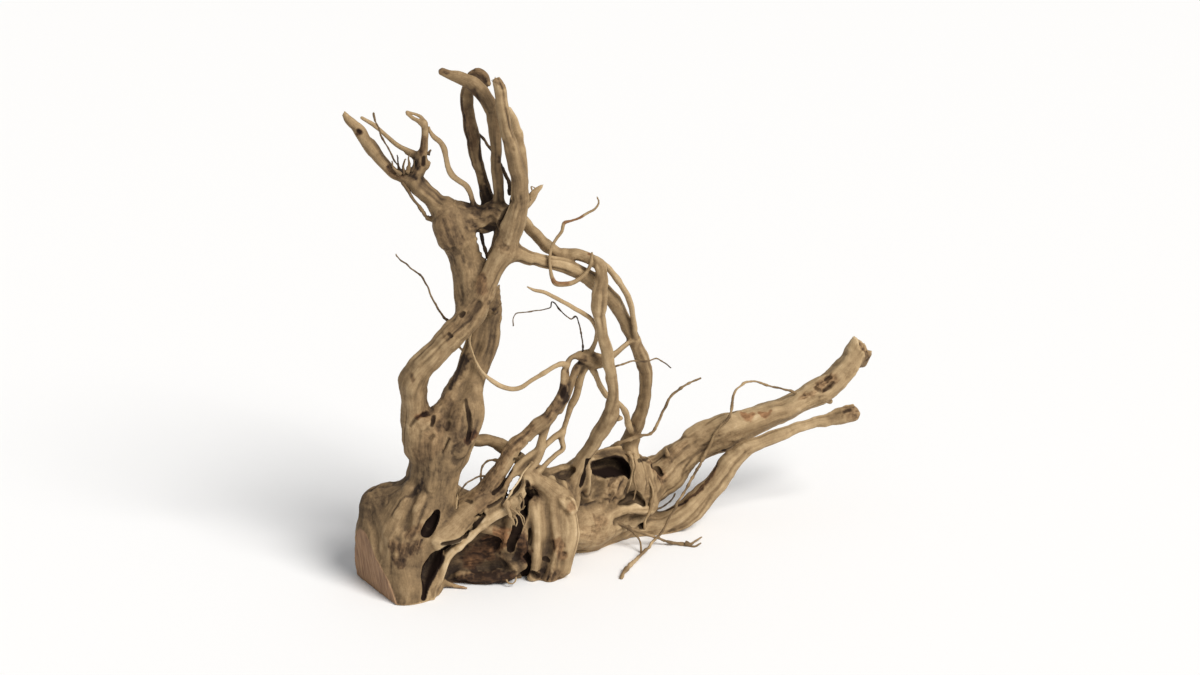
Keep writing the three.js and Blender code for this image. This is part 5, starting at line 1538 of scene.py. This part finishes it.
def show_skin(finish):
    """Fills, eats, skins and weathers the wood, and shows it piece by piece."""
    limbs = [trace({**piece, "crooked": True}, seed) for seed, piece in enumerate(FILLED)]
    field = filled_field(limbs)
    hollows = eat_all(field)
    points, quads = skin_of(field)
    points, wood = weather(points, quads, field, limbs, hollows)
    normals = normals_of(points, quads)
    face_group = piece_numbers(limbs, wood)[quads[:, 0]]
    for number, (name, nodes) in enumerate(PIECES.items()):
        used, faces = np.unique(quads[face_group == number], return_inverse=True)
        own = {key: np.asarray(wood[key])[used] for key in FLOATS + FIBRES}
        show(name, points[used], [faces.reshape(-1, 4)], normals[used], own, nodes, finish)


def show_twigs(finish):
    """Shows the fine twigs as one piece, for all solids that the skin doesn't stand for."""
    points, quads, caps, fibre, tone = [], [], [], [], []
    start = 0
    for seed, piece in enumerate(FINE):
        own, faces, ends, coords = twig_tube(trace(piece, TWIG_SEED + seed))
        points.append(own)
        quads.append(faces + start)
        caps.append(ends + start)
        fibre.append(coords + GRAIN_STEP * (seed + TWIG_STEPS))
        tone.append(piece["tone"] + 0.13 * noise(coords / [9, 9, 11], 60 + seed))
        start += len(own)
    points, fibre, tone = np.vstack(points), np.vstack(fibre), np.concatenate(tone)
    plain = np.zeros(len(points))
    wood = {key: plain for key in FLOATS}
    wood.update({"tone": tone, "wear_and_shading": plain + 0.5, "crowd_shade": plain + 0.3, "fibre_a": fibre,
                 "fibre_b": fibre, "share": plain, "who": plain, "next": plain})
    nodes = sorted({piece["node"] for piece in FINE} - {node for own in PIECES.values() for node in own})
    show(FINE_PIECE, points, [np.vstack(quads), np.vstack(caps)], None, wood, nodes, finish)


# Half the width of the pale floor, in metres
FLOOR_HALF = 9.0


def soft_studio():
    """A plain near-white floor and soft light, brightest from the upper right."""
    world = bpy.data.worlds.new("studio")
    bpy.context.scene.world = world
    world.use_nodes = True
    background = world.node_tree.nodes["Background"]
    background.inputs["Color"].default_value = (0.97, 0.98, 1.0, 1)
    background.inputs["Strength"].default_value = 0.38
    mesh = bpy.data.meshes.new("floor")
    corners = [(-FLOOR_HALF, -FLOOR_HALF, 0), (FLOOR_HALF, -FLOOR_HALF, 0),
               (FLOOR_HALF, FLOOR_HALF, 0), (-FLOOR_HALF, FLOOR_HALF, 0)]
    mesh.from_pydata(corners, [], [(0, 1, 2, 3)])
    floor = add_object("floor", mesh)
    n = Nodes("pale_floor")
    shader = n.add("ShaderNodeBsdfPrincipled")
    shader.inputs["Base Color"].default_value = (0.9, 0.9, 0.9, 1)
    shader.inputs["Roughness"].default_value = 0.9
    n.link(shader.outputs[0], n.add("ShaderNodeOutputMaterial").inputs[0])
    mesh.materials.append(n.material)
    light = bpy.data.lights.new("soft_sun", "SUN")
    light.energy = 3.3
    light.angle = math.radians(30)
    light.color = (1.0, 0.98, 0.95)
    lamp = add_object("soft_sun", light)
    lamp.rotation_euler = (math.radians(44), 0, math.radians(48))


def camera():
    """The photograph's view."""
    eye = add_object("camera", bpy.data.cameras.new("camera"))
    eye.data.sensor_width = 36
    eye.data.lens = eye.data.sensor_width * EYE_DISTANCE / SIGHT_WIDTH
    back, up = EYE_DISTANCE * math.cos(SIGHT_TILT), EYE_DISTANCE * math.sin(SIGHT_TILT)
    place_in_mm = (-MIDDLE[0], -back - MIDDLE[1], AIM_HEIGHT + up)
    eye.location = [value / MM_PER_METRE for value in place_in_mm]
    eye.rotation_euler = (math.radians(90) - SIGHT_TILT, 0, 0)
    bpy.context.scene.camera = eye


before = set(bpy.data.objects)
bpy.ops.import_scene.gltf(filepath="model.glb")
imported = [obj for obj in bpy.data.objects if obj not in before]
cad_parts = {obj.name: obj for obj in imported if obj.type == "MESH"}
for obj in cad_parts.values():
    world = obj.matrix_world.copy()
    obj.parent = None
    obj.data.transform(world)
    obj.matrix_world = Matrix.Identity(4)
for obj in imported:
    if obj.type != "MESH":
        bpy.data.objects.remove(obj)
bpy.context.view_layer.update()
wood_material = wood_finish()
show_skin(wood_material)
show_twigs(wood_material)
soft_studio()
camera()
bpy.context.scene.view_settings.view_transform = "Standard"
